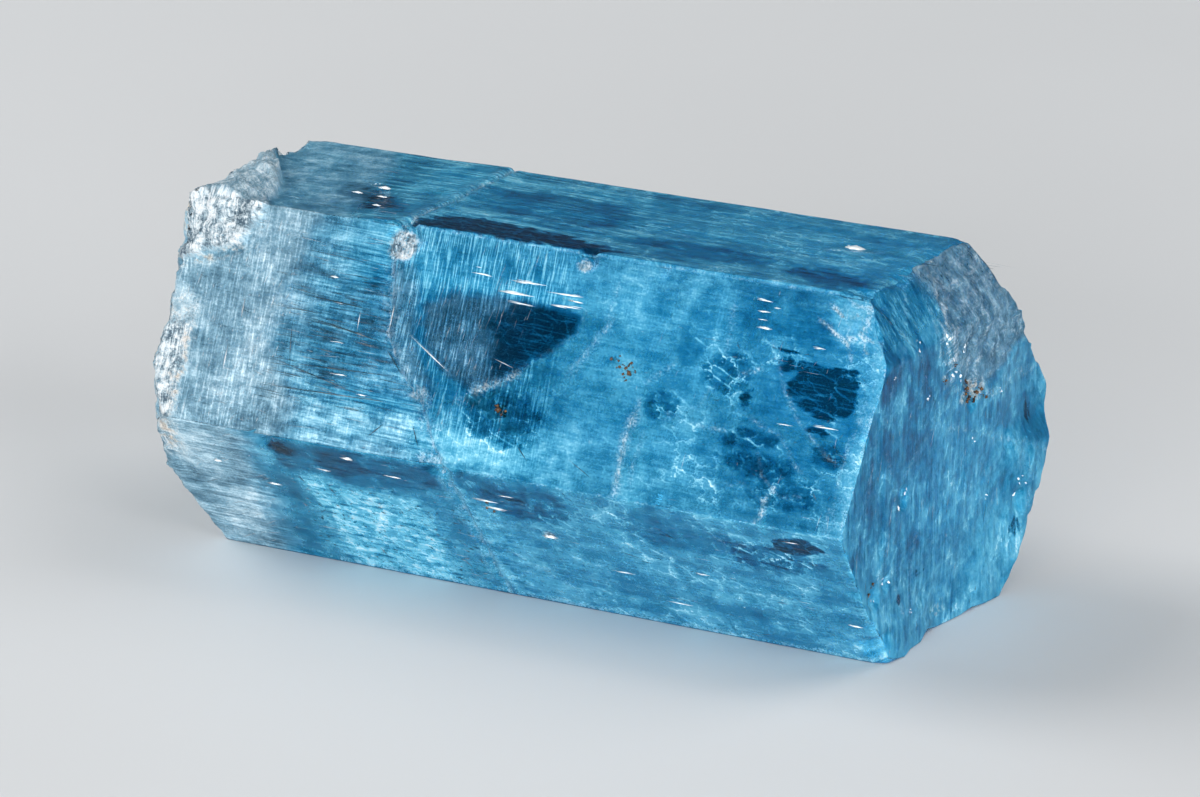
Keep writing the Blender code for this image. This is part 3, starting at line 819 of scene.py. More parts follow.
            white = np.maximum(white, 0.85 * blob(x, s, 2.8, 0.7, 0.42, 0.38, 0, 0.7, 234))
            white = np.maximum(white, 0.14 * blob(x, s, 19.9, 1.4, 1.6, 1.4, 0, 0.7, 235))
            haze = haze + 1.0 * blob(x, s, 20.0, 1.3, 1.9, 1.7, 0, 0.6, 236)
            for path in ([(18.0, 0.7), (18.9, 1.3), (19.7, 1.0), (20.5, 1.5)], [(18.5, 2.1), (19.3, 2.5), (20.1, 2.0), (20.9, 2.3)], [(19.0, 0.3), (20.0, 0.6), (20.9, 0.4)],
                         [(19.2, 1.6), (19.6, 2.9), (19.9, 3.6)], [(20.3, 0.6), (20.1, 1.9), (20.7, 3.0)], [(17.6, 1.6), (18.3, 1.9)]):
                stroke(path, 0.14, 0.95)
            below, _ = line_distance(x + 0.3 * f, s + 0.3 * j, [(-22.4, 4.1), (-20.6, 3.7), (-18.9, 2.8)])
            tan = np.maximum(tan, 1.0 * np.exp(-(below / 0.26) ** 2) * np.clip(0.6 + 1.6 * f, 0, 1))
        elif k == UNDER:
            # painted shade: the dark bands, the cells, the lens and the dark blobs of the lower face
            band, band2 = pane(UNDER_BAND, 0.35, 0.6), pane(UNDER_BAND_B, 0.3, 0.8)
            cellsy = pane(UNDER_CELLS, 0.4, 0.9)
            painted_shade_and_tone = np.maximum(painted_shade_and_tone, 0.34 * band * (1 + 0.8 * f))
            painted_shade_and_tone = np.maximum(painted_shade_and_tone, 0.32 * band2 * (1 + 0.8 * f))
            painted_shade_and_tone = np.maximum(painted_shade_and_tone, 0.34 * cellsy)
            painted_shade_and_tone = np.maximum(painted_shade_and_tone, 0.12 * smooth(-17.0, -15.8, x) * smooth(-12.5, -13.8, x))
            painted_shade_and_tone = np.maximum(painted_shade_and_tone, 0.20 * blob(x, s, 11.0, 2.0, 4.0, 1.4, 0, 0.6, 242))
            dark = np.maximum(dark, 0.80 * pane(UNDER_LENS, 0.14, 0.2))
            dark = np.maximum(dark, 0.70 * blob(x, s, -13.6, 1.0, 0.9, 0.5, 10, 0.6, 244))
            dark = np.maximum(dark, 0.45 * blob(x, s, -9.4, 1.7, 2.0, 0.35, 2, 0.9, 245))
            dark = np.maximum(dark, 0.45 * blob(x, s, 1.0, 1.5, 1.6, 0.55, 10, 0.9, 246))
            dark = np.maximum(dark, 0.62 * blob(x, s, -16.0, 3.8, 0.7, 0.28, 10, 0.5, 247))
            # painted light: the bright glow over the left and middle of the lower face, and a base level over all of it
            bright = smooth(-0.1, 0.9, -inside(x, s, UNDER_BAND) + 0.3 * f) * smooth(2.2, 3.6, s + 0.8 * j) * smooth(10.2, 9.6, s)
            painted_light = np.maximum(painted_light, bright * smooth(-14.6, -11.8, x - 0.30 * (s - 4.0) + 1.6 * j) * smooth(-0.2, -2.6, gap + 1.2 + 1.2 * j))
            painted_light = np.maximum(painted_light, 0.55 * smooth(-0.3, 0.6, gap) * smooth(2.2, 4.0, s + j - 0.25 * x) * smooth(6.0, 1.0, x))
            lit = painted_light * (1 - smooth(-0.5, 1.5, x))
            painted_light = np.maximum(painted_light, 0.50 * smooth(-4, -1, x) * smooth(0.3, 3.0, s + j))
            painted_light = np.maximum(painted_light, 0.62)
            along = 0.14 + 0.10 * lit + 0.35 * frost
            mottle = 0.30 + 0.55 * lit + 0.9 * cellsy + 0.5 * band2
            comma = np.maximum(0.50 * lit, 0.8 * cellsy)
            comma = np.maximum(comma, 0.45 * band)
            veil = 0.25 + 0.40 * smooth(0, 5, x)
            # painted highlight along the bottom edge of the lower face
            white = np.maximum(white, 0.40 * smooth(9.45, 9.80, s) * smooth(-14.0, -12.0, x) * np.clip(0.8 + 1.2 * j, 0, 1))
            haze = haze + 0.05 * smooth(-1, 5, x) * (1 - cellsy) + 0.4 * lit
            crust = smooth(-19.9, -20.9, x + 0.5 * f) * smooth(3.8, 2.2, s + 0.5 * f)
            tan = 0.8 * crust * smooth(-0.15, 0.15, f)
            white = np.maximum(white, 0.7 * crust * (1 + 0.6 * f))
            white = np.maximum(white, 0.85 * blob(x, s, 2.9, 4.3, 0.5, 0.3, 0, 0.4, 243))
            stroke([(13.4, 1.2), (14.6, 2.2), (15.6, 1.7)], 0.12, 0.5)
            stroke([(7.4, 1.6), (8.6, 2.6), (9.2, 3.4)], 0.09, 0.4)
            stroke([(-2.4, 5.2), (0.6, 6.6), (3.8, 8.8)], 0.12, 0.35)
            stroke([(-1.4, 8.9), (1.2, 7.4), (2.6, 6.9)], 0.14, 0.30)
        elif k == REST:
            haze = haze + 0.1
            along = 0.3 * one
        else:
            haze = haze + 0.05 + 0.25 * j
            along = 0.34 * one
            across = 0.10 + 0.10 * smooth(-0.1, 0.25, fbm(x * 0.10, s * 0.10, k + 3.0, 252, 2))
            patchy = smooth(0.10, 0.40, fbm(x * 0.12, s * 0.30, k, 251, 3))
            haze = haze + 0.35
            # painted shade, in patches
            painted_shade_and_tone = 0.04 + 0.40 * patchy
            dark = 0.85 * smooth(0.30, 0.48, fbm(x * 0.16, s * 0.34, k + 6.0, 253, 3) + 0.2 * f)
            mottle = 0.35 + 0.6 * patchy
            comma = 0.8 * smooth(0.05, 0.35, fbm(x * 0.10, s * 0.22, k + 1.0, 254, 3))
            veil = 0.55 * one
            # painted light, in patches
            painted_light = 0.45 + 0.45 * smooth(0.0, 0.4, fbm(x * 0.10, s * 0.2, k + 2.0, 255, 3))
            for c in range(7):
                x0, s0 = -17 + 5.6 * c + 2 * rand(c, 260 + k), 1.0 + (w - 3.0) * float(rand(c, 270 + k))
                a = 1.6 + 2.4 * float(rand(c, 280 + k))
                t = 0.5 + 2.2 * float(rand(c, 290 + k))
                stroke([(x0, s0), (x0 + 0.45 * a, s0 + 0.5 * t), (x0 + a, s0 + t)], 0.12, 0.45)
        # paler along the edges
        white = np.maximum(white, 0.36 * smooth(0.14, 0.0, edge) * smooth(-0.3, 0.6, f + 0.3) * (k != REST))
        # the rims of both ends
        haze = haze + 0.35 * smooth(0.55, 0.0, 22.2 - x)
        clear = (1 - lump) * (1 - 0.85 * frost)
        for name, value in (("haze", haze), ("frost", frost), ("white", white), ("painted_shade_and_tone", painted_shade_and_tone * clear), ("dark", dark * clear),
                            ("painted_light", painted_light * (1 - lump)), ("along", along * (1 - 0.8 * lump)), ("across", across * (1 - 0.8 * lump)),
                            ("comma", comma * clear), ("mottle", mottle), ("veil", veil * clear), ("tan", tan), ("satin", satin)):
            m[name][i] = value

    i = np.where(zone == 6)[0]
    y, z = u[i], v[i]
    j, f = jit[i], fine[i]
    m["grow"][i] = np.stack([z, y, np.full(len(i), 6.0)], -1)
    patch = broken_patch(y, z)
    white = 0 * y

    def seam(path, width, a):
        nonlocal white
        away, _ = line_distance(y + 0.35 * f, z + 0.35 * j, path)
        white = np.maximum(white, a * np.exp(-(away / width) ** 2) * np.clip(0.7 + 1.2 * f, 0, 1))

    seam([(0.9, 15.0), (-0.04, 13.6), (-2.3, 12.0), (-4.8, 10.6), (-6.5, 8.3), (-8.0, 5.0)], 0.28, 0.42)
    seam([(-0.3, 11.6), (1.8, 10.9), (6.6, 9.1), (11.6, 6.9)], 0.22, 0.42)
    seam([(-0.5, 14.4), (1.2, 12.9), (3.6, 12.5), (6.5, 11.8), (8.7, 12.3), (12.3, 11.4)], 0.35, 0.60)
    seam([(-2.0, 19.3), (-5.5, 16.9), (-7.4, 14.6), (-8.6, 12.4), (-9.5, 9.0)], 0.20, 0.30)
    seam([(-0.2, 18.9), (-1.2, 16.4), (-1.2, 15.0)], 0.30, 0.35)
    seam([(1.2, 18.6), (0.3, 17.0), (0.6, 15.6), (0.2, 14.2)], 0.42, 0.85)
    seam([(-4.5, 18.6), (-3.2, 16.0), (-3.6, 13.6)], 0.16, 0.40)
    seam([(-7.2, 12.0), (-6.0, 8.6), (-6.6, 5.0), (-5.4, 2.4)], 0.16, 0.40)
    seam([(-3.0, 8.2), (-4.2, 5.4), (-4.6, 3.0)], 0.18, 0.34)
    seam([(3.6, 8.6), (5.4, 6.0), (5.6, 3.6)], 0.20, 0.30)
    seam([(8.0, 8.2), (9.1, 6.0), (8.6, 3.6), (7.0, 2.2)], 0.40, 0.30)
    seam([(-2.2, 5.6), (0.4, 4.6), (3.2, 4.9)], 0.25, 0.22)
    white = np.maximum(white, 0.62 * blob(y, z, 0.1, 16.2, 1.3, 1.5, 0, 0.8, 261))
    # painted shade on the termination, in blobs; below, its rough patch also gets a darker tone
    painted_shade_and_tone = 0.16 * blob(y, z, -3.3, 14.0, 2.1, 2.2, 30, 0.7, 262)
    painted_shade_and_tone = np.maximum(painted_shade_and_tone, 0.12 * blob(y, z, -9.6, 11.6, 1.2, 3.4, 10, 0.7, 263))
    painted_shade_and_tone = np.maximum(painted_shade_and_tone, 0.20 * blob(y, z, 5.6, 10.6, 2.2, 0.8, -15, 0.7, 264))
    painted_shade_and_tone = np.maximum(painted_shade_and_tone, 0.10 * blob(y, z, -7.2, 16.8, 1.8, 2.0, 30, 0.7, 271))
    painted_shade_and_tone = np.maximum(painted_shade_and_tone, 0.12 * blob(y, z, -6.5, 5.8, 1.4, 1.8, 20, 0.7, 272))
    painted_shade_and_tone = np.maximum(painted_shade_and_tone, 0.24 * blob(y, z, 10.2, 9.4, 1.8, 1.6, 0, 0.7, 275))
    dark = 0.62 * blob(y, z, 7.6, 3.6, 0.55, 0.6, 0, 0.5, 265)
    dark = np.maximum(dark, 0.60 * blob(y, z, -3.6, 4.2, 0.5, 0.3, 0, 0.4, 266))
    dark = np.maximum(dark, 0.55 * blob(y, z, 9.9, 9.6, 0.5, 0.8, 0, 0.5, 273))
    dark = np.maximum(dark, 0.50 * blob(y, z, -5.8, 3.4, 0.5, 0.3, 0, 0.5, 274))
    tan = 0.75 * blob(y, z, 2.6, 12.8, 1.6, 0.65, 0, 0.6, 267)
    tan = np.maximum(tan, 0.6 * blob(y, z, -0.6, 14.4, 0.6, 0.5, 0, 0.4, 268))
    tan = np.maximum(tan, 0.7 * blob(y, z, -0.9, 1.1, 0.6, 0.5, 0, 0.4, 269))
    shell = smooth(7.4, 6.6, np.hypot(y - 8.2, z - 4.0) + 0.35 * j)
    m["haze"][i] = 0.22 + 0.7 * j + 0.40 * smooth(6.5, 2.0, z) + 0.5 * smooth(-10.6, -11.8, y)
    m["satin"][i] = smooth(18.4, 16.6, z)
    m["frost"][i] = 0.66 * patch
    m["white"][i] = np.maximum(white, 0.30 * patch * (1 + 2.0 * f))
    m["painted_shade_and_tone"][i] = (painted_shade_and_tone + 0.10 * smooth(0.0, -5.0, y) * smooth(4.0, 8.0, z)) * (1 - patch) + 0.26 * patch
    m["dark"][i] = dark * (1 - patch)
    m["tan"][i] = tan
    # painted light on the termination, a little more over the shell-shaped step
    m["painted_light"][i] = (0.58 + 0.10 * shell) * (1 - patch)
    m["along"][i] = 0.20 * (1 - 0.5 * shell) * (1 - 0.6 * patch)
    m["across"][i] = 0.05
    m["mottle"][i] = 0.55 + 0.35 * patch
    m["veil"][i] = 0.50 * (1 - patch)
    m["comma"][i] = 0.20 * (1 - patch)

    # the bevel over the upper front corner catches more light, so it is painted darker
    facet = unit(np.array([0.62, -0.45, 0.64]))
    off = (pts - np.array([21.62, -6.5, 19.30])) @ facet
    bevel = smooth(-0.30, -0.04, off) * (pts[:, 0] > 19.0) * (1 - smooth(0.2, 0.6, m["frost"]))
    m["painted_shade_and_tone"] = np.maximum(m["painted_shade_and_tone"], 0.42 * bevel)
    m["painted_light"] = m["painted_light"] * (1 - bevel)
    m["haze"] = m["haze"] * (1 - bevel)
    m["veil"] = np.maximum(m["veil"], 0.9 * bevel)
    m["white"] = m["white"] * (1 - 0.55 * bevel)

    # pale bruised line where the front face meets the broken end
    i = np.where(zone == FRONT)[0]
    near = smooth(0.75, 0.05, right_end(pts[i, 1], pts[i, 2]) - pts[i, 0]) * (1 - bevel[i])
    m["haze"][i] = m["haze"][i] + 0.45 * near
    m["white"][i] = np.maximum(m["white"][i], 0.42 * near * np.clip(0.6 + 1.4 * fine[i], 0, 1))
    m["painted_shade_and_tone"][i] = m["painted_shade_and_tone"][i] * (1 - 0.7 * near)

    i = np.where(zone == 7)[0]
    y, z = u[i], v[i]
    j, f = jit[i], fine[i]
    m["grow"][i] = np.stack([z, y, np.full(len(i), 7.0)], -1)
    m["haze"][i] = 0.6
    m["frost"][i] = 0.9 + 0.2 * j
    m["white"][i] = 0.26 + 0.5 * f + 0.5 * j
    m["tan"][i] = 0.8 * smooth(-0.02, 0.26, j + 0.16 * smooth(2.0, -2.0, y))
    m["along"][i] = 0.15
    m["across"][i] = 0.15
    m["mottle"][i] = 0.8
    return m


# ---------------------------------------------------------------------------
# materials
# ---------------------------------------------------------------------------


class Nodes:
    """Short names for the few kinds of node that the materials use."""

    def __init__(self, name):
        self.mat = bpy.data.materials.new(name)
        self.mat.use_nodes = True
        self.t = self.mat.node_tree
        self.shader = self.t.nodes["Principled BSDF"]
        self.out = self.t.nodes["Material Output"]

    def link(self, a, b):
        self.t.links.new(a, b)

    def put(self, socket, value):
        if isinstance(value, bpy.types.NodeSocket):
            self.t.links.new(value, socket)
        else:
            socket.default_value = value

    def attr(self, name, vector=False):
        n = self.t.nodes.new("ShaderNodeAttribute")
        n.attribute_name = name
        return n.outputs["Vector"] if vector else n.outputs["Fac"]

    def math(self, op, a, b=0.5, c=0.5, clamp=False):
        n = self.t.nodes.new("ShaderNodeMath")
        n.operation = op
        n.use_clamp = clamp
        for socket, value in zip(n.inputs, (a, b, c)):
            self.put(socket, value)
        return n.outputs[0]

    def mul(self, a, b, clamp=False):
        return self.math("MULTIPLY", a, b, clamp=clamp)

    def add(self, a, b, clamp=False):
        return self.math("ADD", a, b, clamp=clamp)

    def band(self, a, lo, hi, to_lo=0.0, to_hi=1.0):
        n = self.t.nodes.new("ShaderNodeMapRange")
        n.interpolation_type = "SMOOTHSTEP"
        for key, value in (("Value", a), ("From Min", lo), ("From Max", hi), ("To Min", to_lo), ("To Max", to_hi)):
            self.put(n.inputs[key], value)
        return n.outputs["Result"]

    def mix(self, fac, a, b):
        n = self.t.nodes.new("ShaderNodeMix")
        n.data_type = "RGBA"
        n.clamp_factor = True
        self.put(n.inputs[0], fac)
        self.put(n.inputs[6], a)
        self.put(n.inputs[7], b)
        return n.outputs[2]

    def blend(self, mode, fac, a, b):
        n = self.t.nodes.new("ShaderNodeMix")
        n.data_type = "RGBA"
        n.blend_type = mode
        self.put(n.inputs[0], fac)
        self.put(n.inputs[6], a)
        self.put(n.inputs[7], b)
        return n.outputs[2]

    def ramp(self, fac, stops):
        n = self.t.nodes.new("ShaderNodeValToRGB")
        self.put(n.inputs["Fac"], fac)
        e = n.color_ramp.elements
        while len(e) < len(stops):
            e.new(0.5)
        for el, (at, colour) in zip(e, stops):
            el.position = at
            el.color = colour
        return n.outputs["Color"]

    def mapping(self, vector, scale=(1, 1, 1), rotation=(0, 0, 0), location=(0, 0, 0)):
        n = self.t.nodes.new("ShaderNodeMapping")
        self.link(vector, n.inputs["Vector"])
        n.inputs["Scale"].default_value = scale
        n.inputs["Rotation"].default_value = rotation
        n.inputs["Location"].default_value = location
        return n.outputs[0]

    def noise(self, vector, scale=1.0, detail=3.0, rough=0.5, distortion=0.0, flat=False):
        n = self.t.nodes.new("ShaderNodeTexNoise")
        n.noise_dimensions = "2D" if flat else "3D"
        self.link(vector, n.inputs["Vector"])
        n.inputs["Scale"].default_value = scale
        n.inputs["Detail"].default_value = detail
        n.inputs["Roughness"].default_value = rough
        n.inputs["Distortion"].default_value = distortion
        return n.outputs[0]

    def voronoi(self, vector, scale=1.0, feature="F1", randomness=1.0):
        n = self.t.nodes.new("ShaderNodeTexVoronoi")
        n.voronoi_dimensions = "2D"
        n.feature = feature
        self.link(vector, n.inputs["Vector"])
        n.inputs["Scale"].default_value = scale
        n.inputs["Randomness"].default_value = randomness
        return n.outputs["Distance"]

    def add_vector(self, vector, fac, amount):
        n = self.t.nodes.new("ShaderNodeVectorMath")
        n.operation = "MULTIPLY_ADD"
        c = self.t.nodes.new("ShaderNodeCombineXYZ")
        self.link(fac, c.inputs[0])
        self.link(fac, c.inputs[1])
        self.link(c.outputs[0], n.inputs[0])
        n.inputs[1].default_value = (amount, amount, 0.0)
        self.link(vector, n.inputs[2])
        return n.outputs[0]

    def bump(self, height, strength, distance, normal=None):
        n = self.t.nodes.new("ShaderNodeBump")
        self.put(n.inputs["Height"], height)
        self.put(n.inputs["Strength"], strength)
        n.inputs["Distance"].default_value = distance
        if normal is not None:
            self.link(normal, n.inputs["Normal"])
        return n.outputs[0]

    def set(self, **values):
        for key, value in values.items():
            self.put(self.shader.inputs[key.replace("_", " ")], value)


def skin_material():
    n = Nodes("beryl_skin")
    grow = n.attr("grow", vector=True)
    haze, frost, white, painted_shade_and_tone, dark, painted_light, along, across, comma, mottle, veil, tan, satin = (n.attr(name) for name in MASKS)

    def signed(value, gain):
        return n.mul(n.add(value, -0.5), gain)

    # striae that run with the crystal axis, and growth lines across it
    slant = n.mapping(grow, rotation=(0, 0, math.radians(-1.5)))
    l1 = n.noise(n.mapping(slant, (0.10, 1.5, 1.0)), 1.0, 1.0, 0.6, flat=True)
    l2 = n.noise(n.mapping(slant, (0.42, 7.0, 1.0), location=(3, 7, 1)), 1.0, 1.0, 0.6, flat=True)
    l3 = n.noise(n.mapping(slant, (0.50, 3.6, 1.0), location=(9, 1, 1)), 1.0, 1.0, 0.4, flat=True)
    lean = n.mapping(grow, rotation=(0, 0, math.radians(4.0)))
    t2 = n.noise(n.mapping(lean, (8.5, 0.55, 1.0), location=(1, 9, 4)), 1.0, 1.0, 0.6, flat=True)
    # cloud, mottling, grain, and thin curved wisps
    cloud = n.noise(n.mapping(grow, (0.33, 0.36, 1.0), rotation=(0, 0, 0.5)), 1.0, 2.0, 0.65, flat=True)
    mott = n.noise(n.mapping(grow, (1.3, 1.7, 1.0), rotation=(0, 0, 0.42)), 1.0, 3.0, 0.70, flat=True)
    grain = n.noise(n.mapping(grow, (6.4, 7.4, 1.0), rotation=(0, 0, 0.65)), 1.0, 2.0, 0.7, flat=True)

    web = n.voronoi(n.add_vector(n.mapping(grow, (0.85, 1.15, 1.0), rotation=(0, 0, 0.2)), mott, 1.5), 1.0, "DISTANCE_TO_EDGE")
    net = n.band(web, 0.0, 0.10, 1.0, 0.0)
    wisp = n.mul(net, n.band(cloud, 0.44, 0.62))

    # lightness of each spot: 0 is a dark gap, 0.45 clear blue, 1 white
    lines = n.mul(n.add(signed(l1, 0.75), signed(l2, 0.95)), along)
    rungs = n.mul(n.add(n.band(t2, 0.42, 0.74), -0.36), n.mul(across, 0.30))
    marks = n.mul(n.band(l3, 0.585, 0.68), comma)
    torn = n.add(signed(mott, 1.1), signed(l3, 1.0))
    # painted shade: the dark mask, torn at its edges, darkens the colour below, with pale specks and lines left in it
    gap = n.band(n.add(dark, n.mul(torn, n.band(dark, 0.0, 0.3))), 0.25, 0.80)
    v = n.add(0.41, n.mul(haze, 0.15))
    v = n.add(v, signed(cloud, 0.24))
    v = n.add(v, n.mul(signed(mott, 0.62), mottle))
    v = n.add(v, n.add(signed(grain, 0.08), n.mul(n.band(grain, 0.56, 0.70), 0.04)))
    # painted light lifts the lightness and painted shade lowers it
    v = n.add(v, n.mul(painted_light, 0.17))
    v = n.add(v, n.mul(painted_shade_and_tone, -0.38))
    v = n.add(v, lines)
    v = n.add(v, rungs)
    v = n.add(v, n.mul(marks, -0.26))
    v = n.mul(v, n.add(1.0, n.mul(gap, -0.80)))
    v = n.add(v, n.mul(n.band(gap, 0.0, 1.0, 0.0, 0.16), n.band(grain, 0.62, 0.72)))
    v = n.add(v, n.mul(net, n.add(n.mul(gap, 0.17), n.band(mottle, 0.5, 1.1, 0.0, 0.15))))
    v = n.add(v, n.mul(gap, n.mul(n.band(l2, 0.52, 0.72), 0.16)))
    v = n.add(v, n.mul(n.mul(wisp, veil), n.add(signed(mott, 0.7), 0.20)))
    v = n.math("MINIMUM", n.math("MAXIMUM", v, 0.0), 1.0)
    ramp = n.ramp(v, ((0.00, (0.001, 0.008, 0.013, 1)), (0.14, (0.004, 0.052, 0.082, 1)), (0.32, (0.012, 0.20, 0.355, 1)), (0.45, (0.032, 0.345, 0.60, 1)),
                      (0.60, (0.11, 0.52, 0.78, 1)), (0.78, (0.33, 0.72, 0.89, 1)), (1.0, (0.82, 0.94, 0.98, 1))))
    # brighter, more saturated colours, mixed in where light is painted
    bright = n.ramp(v, ((0.22, (0.003, 0.24, 0.41, 1)), (0.50, (0.018, 0.47, 0.79, 1)), (0.72, (0.19, 0.72, 0.96, 1)), (1.0, (0.80, 0.96, 1.0, 1))))
    ramp = n.mix(n.mul(n.mul(painted_light, 0.85), n.band(v, 0.20, 0.45)), ramp, bright)

    # etched skin of the broken end, greyer
    fv = n.add(n.add(0.56, signed(cloud, 0.85)), signed(mott, 0.42))
    fv = n.add(fv, n.add(signed(grain, 0.32), n.mul(lines, 0.8)))
    fv = n.add(fv, n.mul(rungs, 1.2))
    # painted shade darkens the etched skin too
    fv = n.add(fv, n.mul(painted_shade_and_tone, -0.55))
    fv = n.add(fv, n.mul(white, 0.30))
    fv = n.math("MINIMUM", n.math("MAXIMUM", fv, 0.0), 1.0)
    etched = n.ramp(fv, ((0.0, (0.022, 0.065, 0.10, 1)), (0.30, (0.10, 0.21, 0.29, 1)), (0.55, (0.24, 0.42, 0.53, 1)),
                         (0.80, (0.50, 0.68, 0.77, 1)), (1.0, (0.82, 0.90, 0.94, 1))))
    fz = n.add(frost, n.mul(signed(mott, 1.0), n.mul(frost, n.add(1.2, n.mul(frost, -1.0)))), clamp=True)
    c = n.mix(fz, ramp, etched)
    # sugary and bruised places, and a painted highlight along an edge
    w = n.mul(white, n.band(n.add(grain, n.mul(white, 0.25)), 0.40, 0.72), clamp=True)
    sugar = n.add(n.add(signed(grain, 0.45), n.add(0.48, signed(cloud, 0.9))), n.add(signed(mott, -1.9), signed(t2, 1.0)))
    sugar = n.add(sugar, n.mul(net, 0.06))
    c = n.mix(w, c, n.ramp(sugar, ((0.22, (0.80, 0.82, 0.83, 1)), (0.42, (0.47, 0.54, 0.58, 1)), (0.60, (0.23, 0.29, 0.33, 1)), (0.80, (0.07, 0.10, 0.13, 1)))))
    stain = n.mul(tan, n.band(mott, 0.44, 0.60), clamp=True)
    c = n.mix(n.mul(stain, 0.82), c, n.ramp(grain, ((0.3, (0.14, 0.07, 0.03, 1)), (0.5, (0.46, 0.33, 0.20, 1)), (0.7, (0.70, 0.62, 0.52, 1)))))

    # how much passes through
    t = n.band(v, 0.30, 0.95, 0.94, 0.25)
    t = n.add(t, n.mul(haze, -0.12))
    t = n.add(t, n.mul(fz, -0.42))
    t = n.add(t, n.mul(w, -0.60))
    t = n.math("MAXIMUM", n.add(t, n.mul(stain, -0.6)), 0.05)

    r = n.add(0.08, n.mul(haze, 0.10))
    r = n.add(r, n.add(n.mul(fz, 0.30), n.mul(satin, 0.40)))
    r = n.add(r, n.mul(w, 0.30))
    r = n.math("MAXIMUM", n.add(r, signed(mott, 0.2)), 0.03)

    relief = n.mul(n.mul(signed(l2, 1.0), along), 0.5)
    relief = n.add(relief, n.mul(mott, n.add(0.22, n.mul(frost, 0.4))))
    relief = n.add(relief, n.mul(grain, n.add(0.06, n.add(n.mul(frost, 0.30), n.mul(white, 0.55)))))
    n.set(Base_Color=c, Roughness=r, Transmission_Weight=t, IOR=1.577, Specular_Tint=(0.12, 0.55, 0.84, 1), Normal=n.bump(relief, 0.6, 0.00022))
    vol = n.t.nodes.new("ShaderNodeVolumeAbsorption")
    vol.inputs["Color"].default_value = (0.0, 0.83, 0.95, 1)
    vol.inputs["Density"].default_value = 140.0
    n.link(vol.outputs[0], n.out.inputs["Volume"])
    return n.mat


# ---------------------------------------------------------------------------
# what is sealed in the crystal, and the small things on it
# ---------------------------------------------------------------------------


def on_face(k, x, s, depth=0.0):
    """Section point at x along the axis and s across face k, depth mm under it."""
    x, s, depth = np.broadcast_arrays(np.asarray(x, float), np.asarray(s, float), np.asarray(depth, float))
    a, b = CORNERS[k], CORNERS[k + 1]
    t = s / WIDTHS[k]
    out = np.empty(x.shape + (3,))
    out[..., 0] = x
    out[..., 1] = a[0] + (b[0] - a[0]) * t - NORMALS[k][0] * depth
    out[..., 2] = a[1] + (b[1] - a[1]) * t - NORMALS[k][1] * depth
    return out


def depth_under(p):
    """Distance from points to the nearest prism face, smaller where an end is nearer."""
    yz = p[:, 1:] - np.array([0.0, AXIS_Z])
    d = np.min([FACE_DIST[k] - yz @ NORMALS[k] for k in range(6)], axis=0)
    r = right_end(p[:, 1], p[:, 2], False) - 0.5 - p[:, 0]
    lft = p[:, 0] - left_end(p[:, 1], p[:, 2], False) - 1.2
    return np.minimum(d, np.minimum(r, lft))


class Soup:
    """Collects many small shapes into one mesh, with a tone for each."""

    def __init__(self):
        self.p, self.q, self.t, self.tone, self.n = [], [], [], [], 0

    def add(self, pts, quads=None, tris=None, tone=0.5):
        """pts is (shapes, points, 3); quads and tris index one shape's points."""
        count, m = pts.shape[:2]
        base = self.n + np.arange(count)[:, None, None] * m
        if quads is not None:
            self.q.append((base + np.array(quads)[None]).reshape(-1, 4))
        if tris is not None:
            self.t.append((base + np.array(tris)[None]).reshape(-1, 3))
        self.p.append(pts.reshape(-1, 3))
        self.tone.append(np.repeat(np.broadcast_to(tone, count), m))
        self.n += count * m

    def flakes(self, centre, u, v, tone, rng):
        """Irregular five-sided scales."""
        n = len(centre)
        a = np.arange(5) * 2 * math.pi / 5
        ang = a[None] + rng.uniform(-0.45, 0.45, (n, 5))
        r = rng.uniform(0.55, 1.15, (n, 5))
        pts = centre[:, None] + (np.cos(ang) * r)[..., None] * u[:, None] + (np.sin(ang) * r)[..., None] * v[:, None]
        self.add(pts, tris=[(0, 1, 2), (0, 2, 3), (0, 3, 4)], tone=tone)

    def needles(self, centre, along, width, tone, rng):
        """Slender spindles with a three-sided middle."""
        n = len(centre)
        side = unit(np.cross(along, np.broadcast_to([0.31, 0.77, -0.55], along.shape)))
        up = unit(np.cross(along, side))
        w = np.broadcast_to(width, n)[:, None]
        mid = [centre + w * (side * math.cos(a) + up * math.sin(a)) + along * rng.uniform(-0.25, 0.25, (n, 1)) for a in (0, 2.09, 4.19)]
        pts = np.stack([centre - along, centre + along, *mid], 1)
        self.add(pts, tris=[(0, 3, 2), (0, 4, 3), (0, 2, 4), (1, 2, 3), (1, 3, 4), (1, 4, 2)], tone=tone)

    def grains(self, centre, size, tone, rng):
        """Lumpy little octahedra."""
        n = len(centre)
        d = np.array([(1, 0, 0), (-1, 0, 0), (0, 1, 0), (0, -1, 0), (0, 0, 1), (0, 0, -1)], float)
        turn = unit(rng.normal(size=(n, 3)))
        turn2 = unit(np.cross(turn, rng.normal(size=(n, 3))))
        turn3 = np.cross(turn, turn2)
        basis = np.stack([turn, turn2, turn3], 1)
        pts = centre[:, None] + (d @ basis) * (np.broadcast_to(size, n)[:, None, None] * rng.uniform(0.6, 1.2, (n, 6, 1)))
        f = [(0, 2, 4), (2, 1, 4), (1, 3, 4), (3, 0, 4), (2, 0, 5), (1, 2, 5), (3, 1, 5), (0, 3, 5)]
        self.add(pts, tris=f, tone=tone)

    def build(self, name, material):
        ob = to_mesh(name, np.concatenate(self.p), np.concatenate(self.q) if self.q else None,
                     np.concatenate(self.t) if self.t else None)
        attribute(ob, "tone", np.concatenate(self.tone)[: len(ob.data.vertices)])
        ob.data.materials.append(material)
        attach(ob, "root")
        return ob


